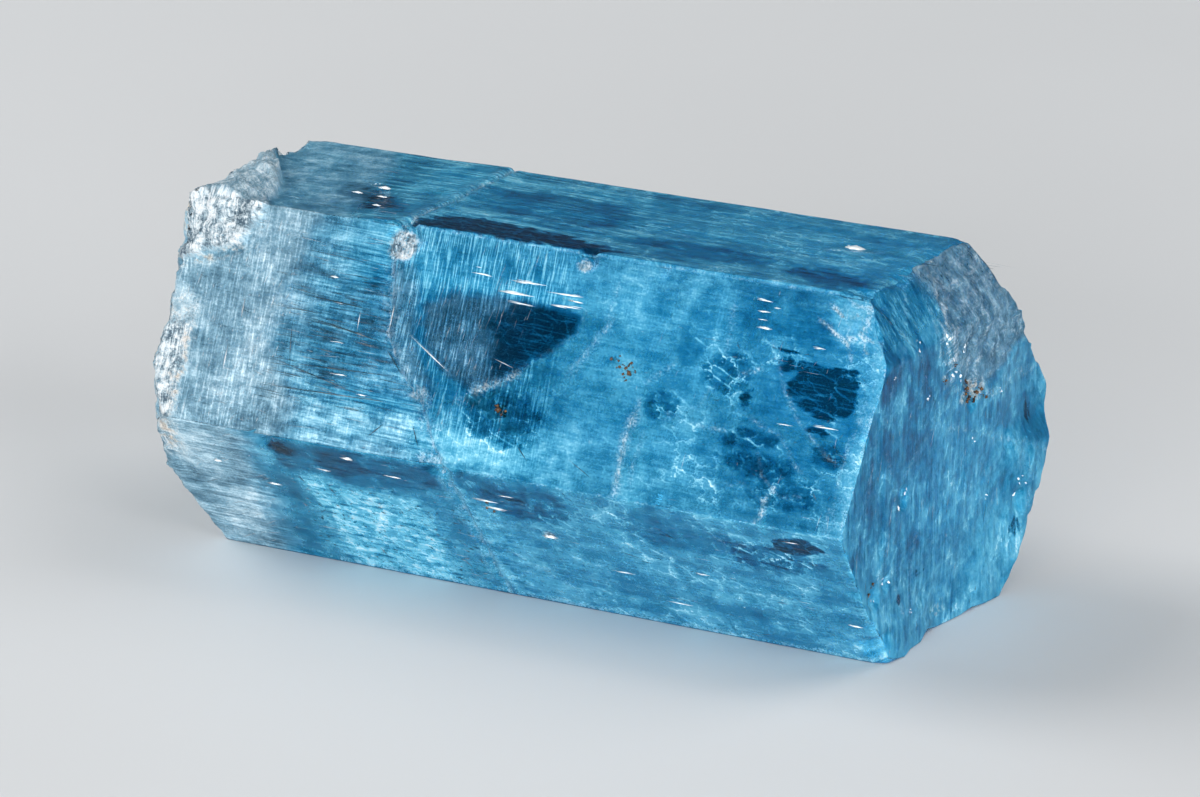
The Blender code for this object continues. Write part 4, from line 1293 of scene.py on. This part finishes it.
def random_frame(n, rng, flat=None, spread=0.4):
    """Two directions across each flake; with flat, its normal stays near that direction."""
    if flat is None:
        normal = unit(rng.normal(size=(n, 3)))
    else:
        normal = unit(np.broadcast_to(flat, (n, 3)) + spread * rng.normal(size=(n, 3)))
    u = unit(np.cross(normal, rng.normal(size=(n, 3))))
    return u, np.cross(normal, u)


def inner_material(name, dark, light, rough, through):
    """Scales and tubes: thin films that glitter and scatter."""
    n = Nodes(name)
    tone = n.attr("tone")
    tc = n.t.nodes.new("ShaderNodeTexCoord")
    fine = n.noise(n.mapping(tc.outputs["Object"], (900, 900, 900)), 1.0, 2.0)
    c = n.mix(n.add(n.mul(tone, 0.75), n.mul(n.add(fine, -0.5), 0.8), clamp=True), dark, light)
    n.set(Base_Color=c, Roughness=n.add(n.mul(fine, 0.25), rough), Transmission_Weight=n.band(tone, 0.0, 1.0, through, 0.0), IOR=1.31,
          Normal=n.bump(fine, 0.3, 0.00004))
    return n.mat


def scatter(rng, count, weight):
    """Random points inside the prism, kept with the chance that weight gives."""
    out = []
    total = 0
    while total < count:
        p = np.stack([rng.uniform(-22.4, 22.2, 60000), rng.uniform(-12, 12, 60000), rng.uniform(0.1, 19.9, 60000)], 1)
        p = p[depth_under(p) > 0.25]
        keep = rng.uniform(size=len(p)) < weight(p)
        p = p[keep]
        out.append(p)
        total += len(p)
    return np.concatenate(out)[:count]


def cloud_weight(p):
    x, y, z = p.T
    cloud = fbm(x * 0.16, y * 0.22, z * 0.22, 401, 3)
    w = 0.30 + 1.5 * np.clip(cloud, -0.2, 0.6)
    w = w + 0.35 * smooth(17.0, 21.5, x) + 0.25 * smooth(-15.0, -19.0, x)
    # the clear window behind the break
    d = np.hypot((x + 0.5) / 6.5, (z - 14.5) / 4.5)
    w = w * (1 - 0.9 * smooth(1.15, 0.75, d) * smooth(2.0, -6.0, y))
    return np.clip(w, 0.02, 1)


def make_clouds():
    rng = np.random.default_rng(11)
    s = Soup()
    c = scatter(rng, 9500, cloud_weight)
    n = len(c)
    u, v = random_frame(n, rng)
    size = 0.035 + 0.11 * rng.uniform(size=(n, 1)) ** 3
    s.flakes(c, u * size, v * size * rng.uniform(0.5, 1, (n, 1)), rng.uniform(0, 1, n) ** 1.5, rng)
    return s.build("inner_clouds", inner_material("inner_scales", (0.14, 0.55, 0.74, 1), (0.60, 0.90, 1.0, 1), 0.25, 0.6))


def make_tubes():
    """Growth tubes and needles along the crystal axis."""
    rng = np.random.default_rng(12)
    s = Soup()

    def weight(p):
        x, y, z = p.T
        w = 0.15 + 0.9 * np.clip(fbm(x * 0.05, y * 0.5, z * 0.5, 402, 3) + 0.05, 0, 1)
        return np.clip(w + 0.25 * smooth(3.0, 0.5, depth_under(p)), 0, 1)

    c = scatter(rng, 3800, weight)
    n = len(c)
    length = 0.15 + 1.3 * rng.uniform(size=(n, 1)) ** 3
    along = unit(np.array([1.0, 0, 0]) + 0.02 * rng.normal(size=(n, 3))) * length
    along = along * np.clip((22.0 - np.abs(c[:, :1])) / length, 0.02, 1)
    s.needles(c, along, 0.012 + 0.022 * rng.uniform(size=n) ** 2, rng.uniform(0.2, 1, n), rng)
    return s.build("growth_tubes", inner_material("tube_walls", (0.25, 0.55, 0.72, 1), (0.80, 0.93, 1.0, 1), 0.15, 0.5))


def break_surface(y, z):
    """X of the healed break inside the crystal."""
    yz = np.stack([y, z - AXIS_Z], -1)
    reach = np.max([(yz @ NORMALS[k]) / FACE_DIST[k] for k in range(6)], axis=0)
    ang = np.degrees(np.arctan2(yz[..., 1], yz[..., 0]))
    # position round the section from the direction
    best = np.zeros(y.shape)
    far = np.stack([y, z], -1) * 0
    scale = 1.0 / np.maximum(reach, 1e-3)
    q = yz * scale[..., None]
    k = np.argmax([(yz @ NORMALS[i]) / FACE_DIST[i] for i in range(6)], axis=0)
    for i in range(6):
        a = CORNERS[i] - np.array([0, AXIS_Z])
        b = CORNERS[i + 1] - np.array([0, AXIS_Z])
        t = ((q - a) @ (b - a)) / WIDTHS[i] ** 2
        best = np.where(k == i, i + np.clip(t, 0, 1), best)
    rim = break_x(best)
    mean = -6.2
    return mean + (rim - mean) * np.clip(reach, 0, 1) ** 1.3 + 0.5 * fbm(y * 0.25, z * 0.25, 3.0, 403, 3)


def make_veils():
    """Healed fractures: sheets of tiny scales that stand for their drops and channels."""
    rng = np.random.default_rng(13)
    s = Soup()
    # round the break
    n = 6500
    y, z = rng.uniform(-12, 12, n * 3), rng.uniform(0, 20, n * 3)
    x = break_surface(y, z) + 0.05 * rng.normal(size=n * 3)
    p = np.stack([x, y, z], 1)
    d = depth_under(p)
    lace = cells(y * 0.9, z * 0.9, 0.0, 404)
    keep = (d > 0.12) & (rng.uniform(size=len(p)) < (0.30 + 0.6 * smooth(0.25, 0.05, lace[1] - lace[0])) * smooth(9.0, 0.5, d))
    p = p[keep][:n]
    u, v = random_frame(len(p), rng, (1.0, 0.1, 0.1), 0.25)
    size = 0.05 + 0.13 * rng.uniform(size=(len(p), 1)) ** 2
    s.flakes(p, u * size, v * size, rng.uniform(0.1, 0.9, len(p)), rng)

    def sheet(path, k, reach, lean, count, tone, size, seed, gaps=0.35):
        """A veil that dips from a line on face k into the crystal."""
        rng = np.random.default_rng(seed)
        t = rng.uniform(0, len(path) - 1 - 1e-6, count)
        i = t.astype(int)
        f = t - i
        path = np.array(path)
        a, b = path[i], path[i + 1]
        ps = a + (b - a) * f[:, None]
        depth = 0.12 + reach * rng.uniform(size=count) ** 1.4
        jag = 0.35 * fbm(ps[:, 0] * 0.8, depth * 0.8, ps[:, 1] * 0.8, seed, 3)
        x = ps[:, 0] + lean[0] * depth + jag
        sq = ps[:, 1] + lean[1] * depth + jag
        p = on_face(k, x, sq, depth)
        hole = fbm(t * 1.3, depth * 0.6, 1.0, seed + 1, 3)
        keep = (hole > -gaps) & (depth_under(p) > 0.06)
        p = p[keep]
        edge = unit(np.stack([(b - a)[:, 0], np.zeros(count), np.zeros(count)], 1) + 1e-6)[keep]
        direction = on_face(k, b[:, 0], b[:, 1]) - on_face(k, a[:, 0], a[:, 1])
        inward = on_face(k, lean[0], lean[1], 1.0) - on_face(k, 0.0, 0.0, 0.0)
        normal = unit(np.cross(unit(direction), np.broadcast_to(unit(inward), direction.shape)))[keep]
        u = unit(np.cross(normal + 0.25 * rng.normal(size=normal.shape), rng.normal(size=normal.shape)))
        v = unit(np.cross(normal, u))
        m = len(p)
        sz = size * (0.4 + 1.2 * rng.uniform(size=(m, 1)) ** 2)
        s.flakes(p, u * sz, v * sz * rng.uniform(0.3, 1, (m, 1)), np.clip(tone + rng.uniform(-0.3, 0.3, m), 0, 1), rng)

    sheet([(3.5, 1.8), (3.4, 4.5), (1.8, 5.9), (0.4, 7.2), (-1.9, 8.6), (-2.6, 9.0)], FRONT, 5.0, (0.55, 0.35), 3600, 0.5, 0.13, 21)
    sheet([(8.2, 7.4), (7.9, 9.1), (7.9, 10.9), (8.2, 13.0)], FRONT, 3.0, (0.25, 0.0), 1500, 0.75, 0.12, 22)
    sheet([(8.9, 1.2), (8.4, 4.0), (6.9, 6.6), (5.6, 8.4)], FRONT, 3.0, (0.2, 0.2), 900, 0.45, 0.11, 23)
    sheet([(9.6, 8.6), (11.5, 7.4), (13.0, 5.2)], FRONT, 4.0, (0.4, 0.1), 900, 0.35, 0.12, 24)
    sheet([(13.4, 0.6), (13.1, 4.6), (13.9, 9.5), (13.2, 12.6)], FRONT, 5.0, (0.15, 0.0), 1600, 0.35, 0.13, 25)
    sheet([(17.2, 11.2), (16.8, 12.2), (16.7, 13.0)], FRONT, 1.2, (0.1, 0.0), 420, 0.95, 0.10, 26)
    sheet([(16.4, 7.6), (19.8, 7.9), (21.0, 9.0)], FRONT, 3.0, (0.2, 0.3), 900, 0.4, 0.12, 27)
    sheet([(-4.1, 9.2), (-2.2, 9.4), (-0.3, 7.9)], FRONT, 1.0, (0.1, 0.2), 420, 0.95, 0.10, 28)
    sheet([(-2.2, 1.3), (3.8, 2.3), (9.0, 3.4), (15.0, 4.6)], UNDER, 3.5, (0.1, 0.2), 1200, 0.4, 0.12, 29)
    sheet([(12.0, 7.6), (16.0, 6.8), (20.5, 7.4)], UNDER, 2.0, (0.1, -0.2), 700, 0.4, 0.11, 30)
    sheet([(5.0, 3.0), (12.0, 4.5), (19.0, 3.8)], TOP, 4.0, (0.2, 0.2), 1300, 0.45, 0.12, 31)
    sheet([(-15.0, 6.0), (-10.5, 5.4)], TOP, 2.5, (0.1, 0.2), 500, 0.4, 0.12, 32)
    sheet([(-12.0, 5.0), (0.0, 5.6), (12.0, 4.6)], BACK_LOW, 4.0, (0.1, 0.2), 2200, 0.4, 0.14, 33)
    sheet([(-10.0, 4.0), (4.0, 6.0), (16.0, 5.0)], BACK_HIGH, 4.0, (0.1, 0.1), 2200, 0.4, 0.14, 34)
    return s.build("veils", inner_material("veil_scales", (0.34, 0.62, 0.76, 1), (0.92, 0.97, 1.0, 1), 0.2, 0.55))


def make_glints():
    """Painted glints: white needles and flakes under and on the faces, for open steps that shine as long dashes."""
    rng = np.random.default_rng(14)
    s = Soup()

    def dash(k, x, sq, half, width, turn=0.0, depth=0.0, tone=1.0, parts=5):
        for i in range(parts):
            main = i == 0
            o = (0.0, 0.0) if main else (rng.uniform(-0.6, 0.6) * half, rng.uniform(-1, 1) * width * 0.8)
            a = math.radians(turn + (0.0 if main else rng.uniform(-4, 4)))
            c = on_face(k, x + o[0], sq + o[1], depth)[None]
            e1 = (on_face(k, math.cos(a), math.sin(a)) - on_face(k, 0.0, 0.0))[None] * half * (1.0 if main else rng.uniform(0.3, 0.7))
            s.needles(c, e1, width * (0.62 if main else rng.uniform(0.12, 0.32)), tone * (1.0 if main else rng.uniform(0.6, 1.0)), rng)

    for x, sq, h, w in ((-3.4, 2.07, 0.75, 0.10), (-0.3, 2.14, 1.2, 0.12), (-0.9, 2.86, 1.2, 0.16), (2.1, 2.46, 1.15, 0.12), (2.3, 3.12, 1.0, 0.10),
                        (-0.5, 3.36, 0.85, 0.08), (-3.6, 1.72, 0.3, 0.06), (2.8, 2.75, 0.5, 0.08), (14.0, 1.0, 0.45, 0.10), (14.15, 1.6, 0.5, 0.10), (14.4, 2.5, 0.5, 0.12), (14.2, 2.05, 0.4, 0.06),
                        (14.9, 1.3, 0.3, 0.06), (-12.4, 3.6, 0.30, 0.09), (-11.6, 5.0, 0.5, 0.05), (-10.6, 9.0, 0.6, 0.06), (-8.8, 9.9, 0.4, 0.06),
                        (-11.2, 7.2, 0.5, 0.04), (17.9, 3.1, 0.4, 0.07), (19.3, 7.3, 0.9, 0.10), (17.0, 7.5, 0.7, 0.08)):
        dash(FRONT, x, sq, h, w)
    for x, sq, h, w in ((-13.6, 6.7, 0.45, 0.22), (-14.5, 8.2, 0.4, 0.14), (-12.8, 8.3, 0.35, 0.12), (-12.2, 9.9, 0.3, 0.12), (-4.0, 10.9, 0.5, 0.08),
                        (0.2, 11.3, 0.6, 0.10), (1.6, 10.6, 0.5, 0.08), (-2.2, 3.1, 0.8, 0.10), (1.7, 4.4, 0.7, 0.10), (6.9, 7.1, 0.8, 0.12),
                        (15.3, 4.6, 1.1, 0.45), (12.4, 6.0, 0.6, 0.08), (18.0, 3.0, 0.7, 0.08), (-5.4, 4.4, 0.6, 0.07), (9.6, 3.1, 0.5, 0.07),
                        (4.0, 8.1, 0.9, 0.08), (-7.0, 6.0, 0.6, 0.1)):
        dash(TOP, x, sq, h, w)
    for x, sq, h, w in ((-14.9, 4.15, 0.55, 0.12), (-9.1, 0.75, 0.45, 0.18), (2.9, 4.3, 0.5, 0.2), (21.0, 7.1, 0.5, 0.14), (-0.6, 2.2, 0.9, 0.10),
                        (-0.2, 2.7, 0.9, 0.10), (0.9, 1.5, 0.6, 0.06), (-6.4, 1.6, 0.6, 0.08), (-11.0, 2.1, 0.5, 0.07), (7.0, 6.2, 0.8, 0.06),
                        (12.2, 5.1, 0.5, 0.06), (18.6, 1.0, 0.6, 0.05), (10.0, 8.0, 0.9, 0.06), (-18.3, 3.0, 0.3, 0.2)):
        dash(UNDER, x, sq, h, w)
    # on the termination
    for y, z, r in ((-5.4, 9.0, 0.5), (-8.5, 4.3, 0.4), (-7.1, 4.7, 0.35), (7.85, 5.2, 0.4), (8.2, 6.2, 0.35), (8.5, 3.0, 0.3), (0.3, 15.0, 0.55),
                    (-0.2, 16.5, 0.35), (0.9, 13.8, 0.35), (-3.4, 17.0, 0.3), (-2.6, 14.0, 0.2), (2.8, 10.0, 0.2), (-9.3, 3.3, 0.3), (5.9, 12.0, 0.25),
                    (1.8, 15.6, 0.3), (4.6, 6.2, 0.18), (-4.4, 2.2, 0.2), (-6.6, 16.0, 0.2)):
        for i in range(5):
            yy, zz = y + rng.uniform(-1, 1) * r, z + rng.uniform(-1, 1) * r
            if depth_under(np.array([[18.0, yy, zz]]))[0] < 0.7:
                continue
            c = np.array([[float(right_end(yy, zz)) + 0.01, yy, zz]])
            u, v = random_frame(1, rng, (1.0, 0.0, 0.2), 0.5)
            s.flakes(c, u * r * 0.4, v * r * 0.25, rng.uniform(0.7, 1.0), rng)
    return s.build("glints", inner_material("painted_glint_steps", (0.60, 0.82, 0.92, 1), (1.0, 1.0, 1.0, 1), 0.1, 0.1))


def make_lines():
    """Hair-fine scratches, growth lines and pits in the faces, and small white specks that are painted glints."""
    rng = np.random.default_rng(16)
    s = Soup()

    def strew(k, count, xs, ss, half, width, turn, wander, tones, mask=None):
        x, sq = rng.uniform(*xs, count), rng.uniform(*ss, count)
        if mask is not None:
            keep = mask(x, sq)
            x, sq = x[keep], sq[keep]
        n = len(x)
        if n == 0:
            return
        h = half[0] + (half[1] - half[0]) * rng.uniform(size=n) ** 2.5
        a = np.radians(turn + wander * rng.normal(size=n))
        room = np.minimum(sq, WIDTHS[k] - sq) - 0.12          # stays between the face's two long edges
        h = np.minimum(h, np.maximum(room, 0.03) / np.maximum(np.abs(np.sin(a)), 0.02))
        c = on_face(k, x, sq, rng.uniform(-0.012, 0.015, n))
        e = (on_face(k, np.cos(a), np.sin(a)) - on_face(k, 0.0, 0.0)) * h[:, None]
        w = rng.uniform(*width, n)
        s.needles(c, e, w, rng.uniform(*tones, n), rng)

    right = lambda x, q: break_gap(x, FRONT + q / WIDTHS[FRONT], FRONT) > 0.3
    lefty = lambda x, q: break_gap(x, FRONT + q / WIDTHS[FRONT], FRONT) < -0.6
    strew(FRONT, 230, (-15.0, -6.0), (2.2, 11.0), (0.25, 1.8), (0.008, 0.021), 3, 2, (0.0, 0.12), lefty)
    strew(FRONT, 60, (-15.0, -5.0), (1.0, 13.0), (0.25, 1.2), (0.006, 0.013), 3, 3, (0.35, 0.70), lefty)
    strew(FRONT, 150, (-8.0, 0.5), (0.4, 12.6), (0.25, 1.3), (0.005, 0.011), 97, 3, (0.20, 0.55), right)
    strew(FRONT, 110, (-21.5, -14.5), (1.0, 12.8), (0.10, 0.5), (0.008, 0.018), 95, 9, (0.55, 0.9))
    strew(FRONT, 60, (-21.5, -14.5), (1.0, 12.8), (0.10, 0.5), (0.008, 0.018), 4, 9, (0.1, 0.8))
    strew(FRONT, 40, (5.0, 21.0), (0.4, 12.8), (0.12, 0.9), (0.005, 0.010), 92, 8, (0.4, 0.7))
    strew(FRONT, 30, (5.0, 21.0), (0.4, 12.8), (0.12, 0.8), (0.005, 0.010), 3, 6, (0.3, 0.7))
    strew(FRONT, 80, (12.5, 21.0), (3.0, 12.4), (0.06, 0.30), (0.010, 0.030), 0, 50, (0.0, 0.1))
    strew(TOP, 80, (-15.0, 20.0), (0.4, 12.0), (0.25, 1.6), (0.006, 0.013), 1, 2, (0.30, 0.65))
    strew(TOP, 150, (-15.0, 20.0), (0.4, 12.0), (0.25, 2.0), (0.008, 0.022), 1, 2, (0.0, 0.15))
    # small white specks on the top face: painted glints
    strew(TOP, 22, (-12.0, 20.0), (0.4, 12.0), (0.05, 0.22), (0.015, 0.035), 0, 30, (0.9, 1.0))
    strew(UNDER, 120, (-13.5, -2.0), (3.0, 9.6), (0.08, 0.36), (0.012, 0.038), 20, 25, (0.0, 0.12))
    strew(UNDER, 30, (-13.5, -1.0), (0.3, 9.8), (0.15, 0.8), (0.006, 0.014), 3, 4, (0.5, 0.8))
    strew(UNDER, 45, (-2.0, 21.3), (0.3, 9.7), (0.12, 1.0), (0.005, 0.012), 2, 5, (0.3, 0.7))
    strew(UNDER, 70, (-2.0, 21.3), (0.3, 9.7), (0.10, 0.8), (0.008, 0.022), 2, 12, (0.0, 0.15))
    strew(UNDER, 50, (-20.0, -14.5), (0.3, 9.7), (0.12, 0.8), (0.008, 0.018), -28, 8, (0.3, 0.8))
    for k in (BACK_LOW, BACK_HIGH):
        strew(k, 110, (-19.0, 21.0), (0.4, WIDTHS[k] - 0.4), (0.2, 1.7), (0.006, 0.014), 1, 3, (0.3, 0.7))
        strew(k, 130, (-19.0, 21.0), (0.4, WIDTHS[k] - 0.4), (0.2, 1.7), (0.008, 0.022), 2, 4, (0.0, 0.15))
        strew(k, 60, (-10.0, 8.0), (0.4, WIDTHS[k] - 0.4), (0.2, 1.2), (0.005, 0.012), 96, 6, (0.3, 0.7))
    # single ones that stand out
    for k, x0, s0, x1, s1, w, tone in (
            (FRONT, -13.99, 4.86, -9.26, 5.10, 0.05, 0.0), (FRONT, -13.45, 6.06, -8.04, 6.83, 0.06, 0.0), (FRONT, -7.96, 7.13, -6.5, 8.49, 0.05, 0.0),
            (FRONT, -13.72, 8.82, -6.7, 8.55, 0.045, 0.0), (FRONT, -15.0, 8.7, -9.0, 9.9, 0.04, 0.05), (FRONT, -16.0, 10.29, -7.1, 10.05, 0.04, 0.05),
            (FRONT, -14.3, 6.6, -13.8, 8.8, 0.035, 0.05), (FRONT, -6.84, 6.07, -3.92, 7.74, 0.045, 1.0), (FRONT, -8.2, 4.0, -8.1, 6.6, 0.035, 0.6),
            (FRONT, -10.2, 5.2, -10.1, 6.4, 0.035, 0.7), (FRONT, -18.0, 8.3, -17.9, 9.9, 0.045, 0.8), (FRONT, -17.7, 5.5, -17.6, 6.8, 0.04, 0.7),
            (FRONT, -5.2, 11.0, -4.4, 12.3, 0.04, 0.05), (FRONT, -7.8, 12.2, -7.0, 11.3, 0.04, 0.05), (FRONT, 1.2, 10.9, 2.7, 12.2, 0.04, 0.0),
            (FRONT, 4.4, 11.2, 6.6, 12.3, 0.035, 0.05), (FRONT, -1.3, 6.6, 0.2, 7.0, 0.03, 0.9)):
        c = on_face(k, (x0 + x1) / 2, (s0 + s1) / 2, -0.005)[None]
        e = (on_face(k, x1, s1) - on_face(k, x0, s0))[None] / 2
        s.needles(c, e, w, tone, rng)
    # upright silk on the termination
    n = 130
    y, z = rng.uniform(-11.5, 12.0, n), rng.uniform(0.6, 18.5, n)
    h = 0.15 + 1.2 * rng.uniform(size=n) ** 2.5
    lean = 0.18 + 0.12 * rng.normal(size=n)
    keep = (depth_under(np.stack([np.full(n, 20.0), y, z], 1)) > 0.3) & (broken_patch(y, z) < 0.5)
    y, z, h, lean = y[keep], z[keep], h[keep], lean[keep]
    a = np.stack([right_end(y - lean * h, z - h), y - lean * h, z - h], 1)
    b = np.stack([right_end(y + lean * h, z + h), y + lean * h, z + h], 1)
    s.needles((a + b) / 2 + np.array([0.0, 0, 0]), (b - a) / 2, rng.uniform(0.005, 0.013, len(y)), rng.choice([0.1, 0.4, 0.5, 0.7], len(y)), rng)
    return s.build("fine_lines", inner_material("scratch_and_painted_glint", (0.012, 0.050, 0.080, 1), (0.93, 0.98, 1.0, 1), 0.2, 0.0))


def make_specks():
    """Brown iron stains in small pits and along the break."""
    rng = np.random.default_rng(15)
    s = Soup()

    def group(points, sizes, count, spread):
        for p, r in zip(points, sizes):
            c = np.repeat(np.asarray(p, float)[None], count, 0) + rng.normal(size=(count, 3)) * spread * r
            s.grains(c, r * rng.uniform(0.15, 0.55, count), rng.uniform(0, 1, count), rng)

    def face(k, x, sq, d=0.06):
        return on_face(k, x, sq, d)

    group([face(FRONT, 6.1, 5.55), face(FRONT, 6.45, 5.75), face(FRONT, 6.9, 5.95), face(FRONT, 7.05, 6.25), face(FRONT, 7.35, 5.95)],
          [0.30, 0.22, 0.34, 0.30, 0.22], 9, 0.5)
    group([face(FRONT, -0.1, 9.27, 0.12), face(FRONT, 0.2, 9.5, 0.12)], [0.42, 0.25], 12, 0.45)
    group([face(FRONT, 2.05, 2.62), face(FRONT, 2.5, 2.7)], [0.16, 0.12], 6, 0.6)
    group([face(UNDER, -0.55, 2.5), face(UNDER, -0.1, 2.75)], [0.26, 0.22], 8, 0.6)
    dots = ((-0.8, 14.3, 0.22), (2.1, 13.6, 0.30), (1.8, 13.05, 0.28), (1.9, 12.6, 0.30), (3.4, 12.6, 0.32), (3.0, 12.2, 0.24), (2.6, 12.5, 0.24),
            (4.0, 12.2, 0.2), (-1.1, 1.25, 0.30), (-0.8, 1.6, 0.18), (-8.9, 4.4, 0.22), (0.5, 14.9, 0.14), (-8.6, 5.0, 0.16))
    group([(float(right_end(y, z)) - 0.03, y, z) for y, z, r in dots], [r for _, _, r in dots], 9, 0.45)
    n = Nodes("iron_stain")
    tone = n.attr("tone")
    tc = n.t.nodes.new("ShaderNodeTexCoord")
    fine = n.noise(n.mapping(tc.outputs["Object"], (2500, 2500, 2500)), 1.0, 3.0)
    c = n.mix(n.add(n.mul(tone, 0.7), n.mul(n.add(fine, -0.5), 1.0), clamp=True), (0.012, 0.007, 0.004, 1), (0.22, 0.10, 0.03, 1))
    n.set(Base_Color=c, Roughness=n.add(n.mul(fine, 0.3), 0.4), Normal=n.bump(fine, 0.6, 0.00005))
    return s.build("iron_specks", n.mat)


# ---------------------------------------------------------------------------
# camera, floor and light
# ---------------------------------------------------------------------------


def look_from(ob, at, to):
    from mathutils import Vector
    d = Vector(to) - Vector(at)
    ob.location = at
    ob.rotation_euler = d.to_track_quat("-Z", "Y").to_euler()


def make_camera():
    cam = bpy.data.cameras.new("camera")
    cam.sensor_width = 36.0
    cam.lens = 179.796
    cam.clip_start = 0.02
    cam.clip_end = 20.0
    ob = bpy.data.objects.new("camera", cam)
    bpy.context.scene.collection.objects.link(ob)
    look_from(ob, (0.156991, -0.279559, 0.114142), (0.001682, -0.001776, 0.010360))
    bpy.context.scene.camera = ob
    return ob


def make_floor():
    n = 48
    r = 3.0
    g = np.linspace(-r, r, n + 1)
    gx, gy = np.meshgrid(g, g, indexing="ij")
    pts = np.stack([gx.ravel(), gy.ravel(), np.full(gx.size, -0.00002)], -1)
    i, j = np.meshgrid(np.arange(n), np.arange(n), indexing="ij")
    a = (i * (n + 1) + j).ravel()
    quads = np.stack([a, a + n + 1, a + n + 2, a + 1], -1)
    me = bpy.data.meshes.new("floor")
    me.from_pydata(pts.tolist(), [], quads.tolist())
    ob = bpy.data.objects.new("floor", me)
    bpy.context.scene.collection.objects.link(ob)
    n = Nodes("studio_floor")
    tc = n.t.nodes.new("ShaderNodeTexCoord")
    c = n.mix(n.band(n.noise(tc.outputs["Object"], 9.0, 3.0), 0.3, 0.7), (0.695, 0.70, 0.705, 1), (0.725, 0.73, 0.735, 1))
    n.set(Base_Color=c, Roughness=0.55)
    me.materials.append(n.mat)
    return ob


def area(name, at, to, size, power, colour=(1, 1, 1), size_y=None):
    light = bpy.data.lights.new(name, "AREA")
    light.shape = "RECTANGLE"
    light.size = size
    light.size_y = size_y or size
    light.energy = power
    light.color = colour
    ob = bpy.data.objects.new(name, light)
    bpy.context.scene.collection.objects.link(ob)
    look_from(ob, at, to)
    return ob


def make_world(strength=0.35, colour=(0.80, 0.86, 0.92)):
    w = bpy.data.worlds.new("studio")
    w.use_nodes = True
    bg = w.node_tree.nodes["Background"]
    bg.inputs["Color"].default_value = (*colour, 1)
    bg.inputs["Strength"].default_value = strength
    bpy.context.scene.world = w


# ---------------------------------------------------------------------------
# put together
# ---------------------------------------------------------------------------
make_camera()
floor = make_floor()
make_world(0.10, (0.65, 0.82, 0.95))
area("key", (-1.00, -0.10, 0.80), (0, 0, 0.01), 0.9, 10.0)
area("front", (0.25, -1.15, 0.24), (0, 0, 0.01), 1.1, 15.0, size_y=0.5)
area("side", (1.10, -0.36, 0.30), (0, 0, 0.01), 0.9, 10.8)
area("back", (0.55, 0.70, 1.15), (0, 0, 0.01), 0.9, 6.5)
area("rear", (-1.15, 0.30, 0.22), (0, 0, 0.01), 0.8, 2.6, size_y=0.4)
scene = bpy.context.scene
scene.view_settings.view_transform = "Standard"
scene.cycles.max_bounces = 6
scene.cycles.diffuse_bounces = 3
scene.cycles.transmission_bounces = 6
scene.cycles.sample_clamp_indirect = 5.0

pts, quads, tris, zone, u, v, pp = build_crystal()
crystal = to_mesh("crystal_skin", pts, quads, tris)
crystal.data.materials.append(skin_material())
for name, values in paint(zone, u, v, pp, pts).items():
    if name == "grow":
        vector_attribute(crystal, name, values)
    else:
        attribute(crystal, name, np.clip(values, 0, 1))
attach(crystal, "root")
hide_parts("aquamarine_crystal")

for make in (make_clouds, make_tubes, make_veils, make_glints, make_lines, make_specks):
    ob = make()
    print(ob.name, len(ob.data.polygons), "faces")
print("skin", len(crystal.data.vertices), "vertices", len(quads) * 2 + len(tris), "triangles")
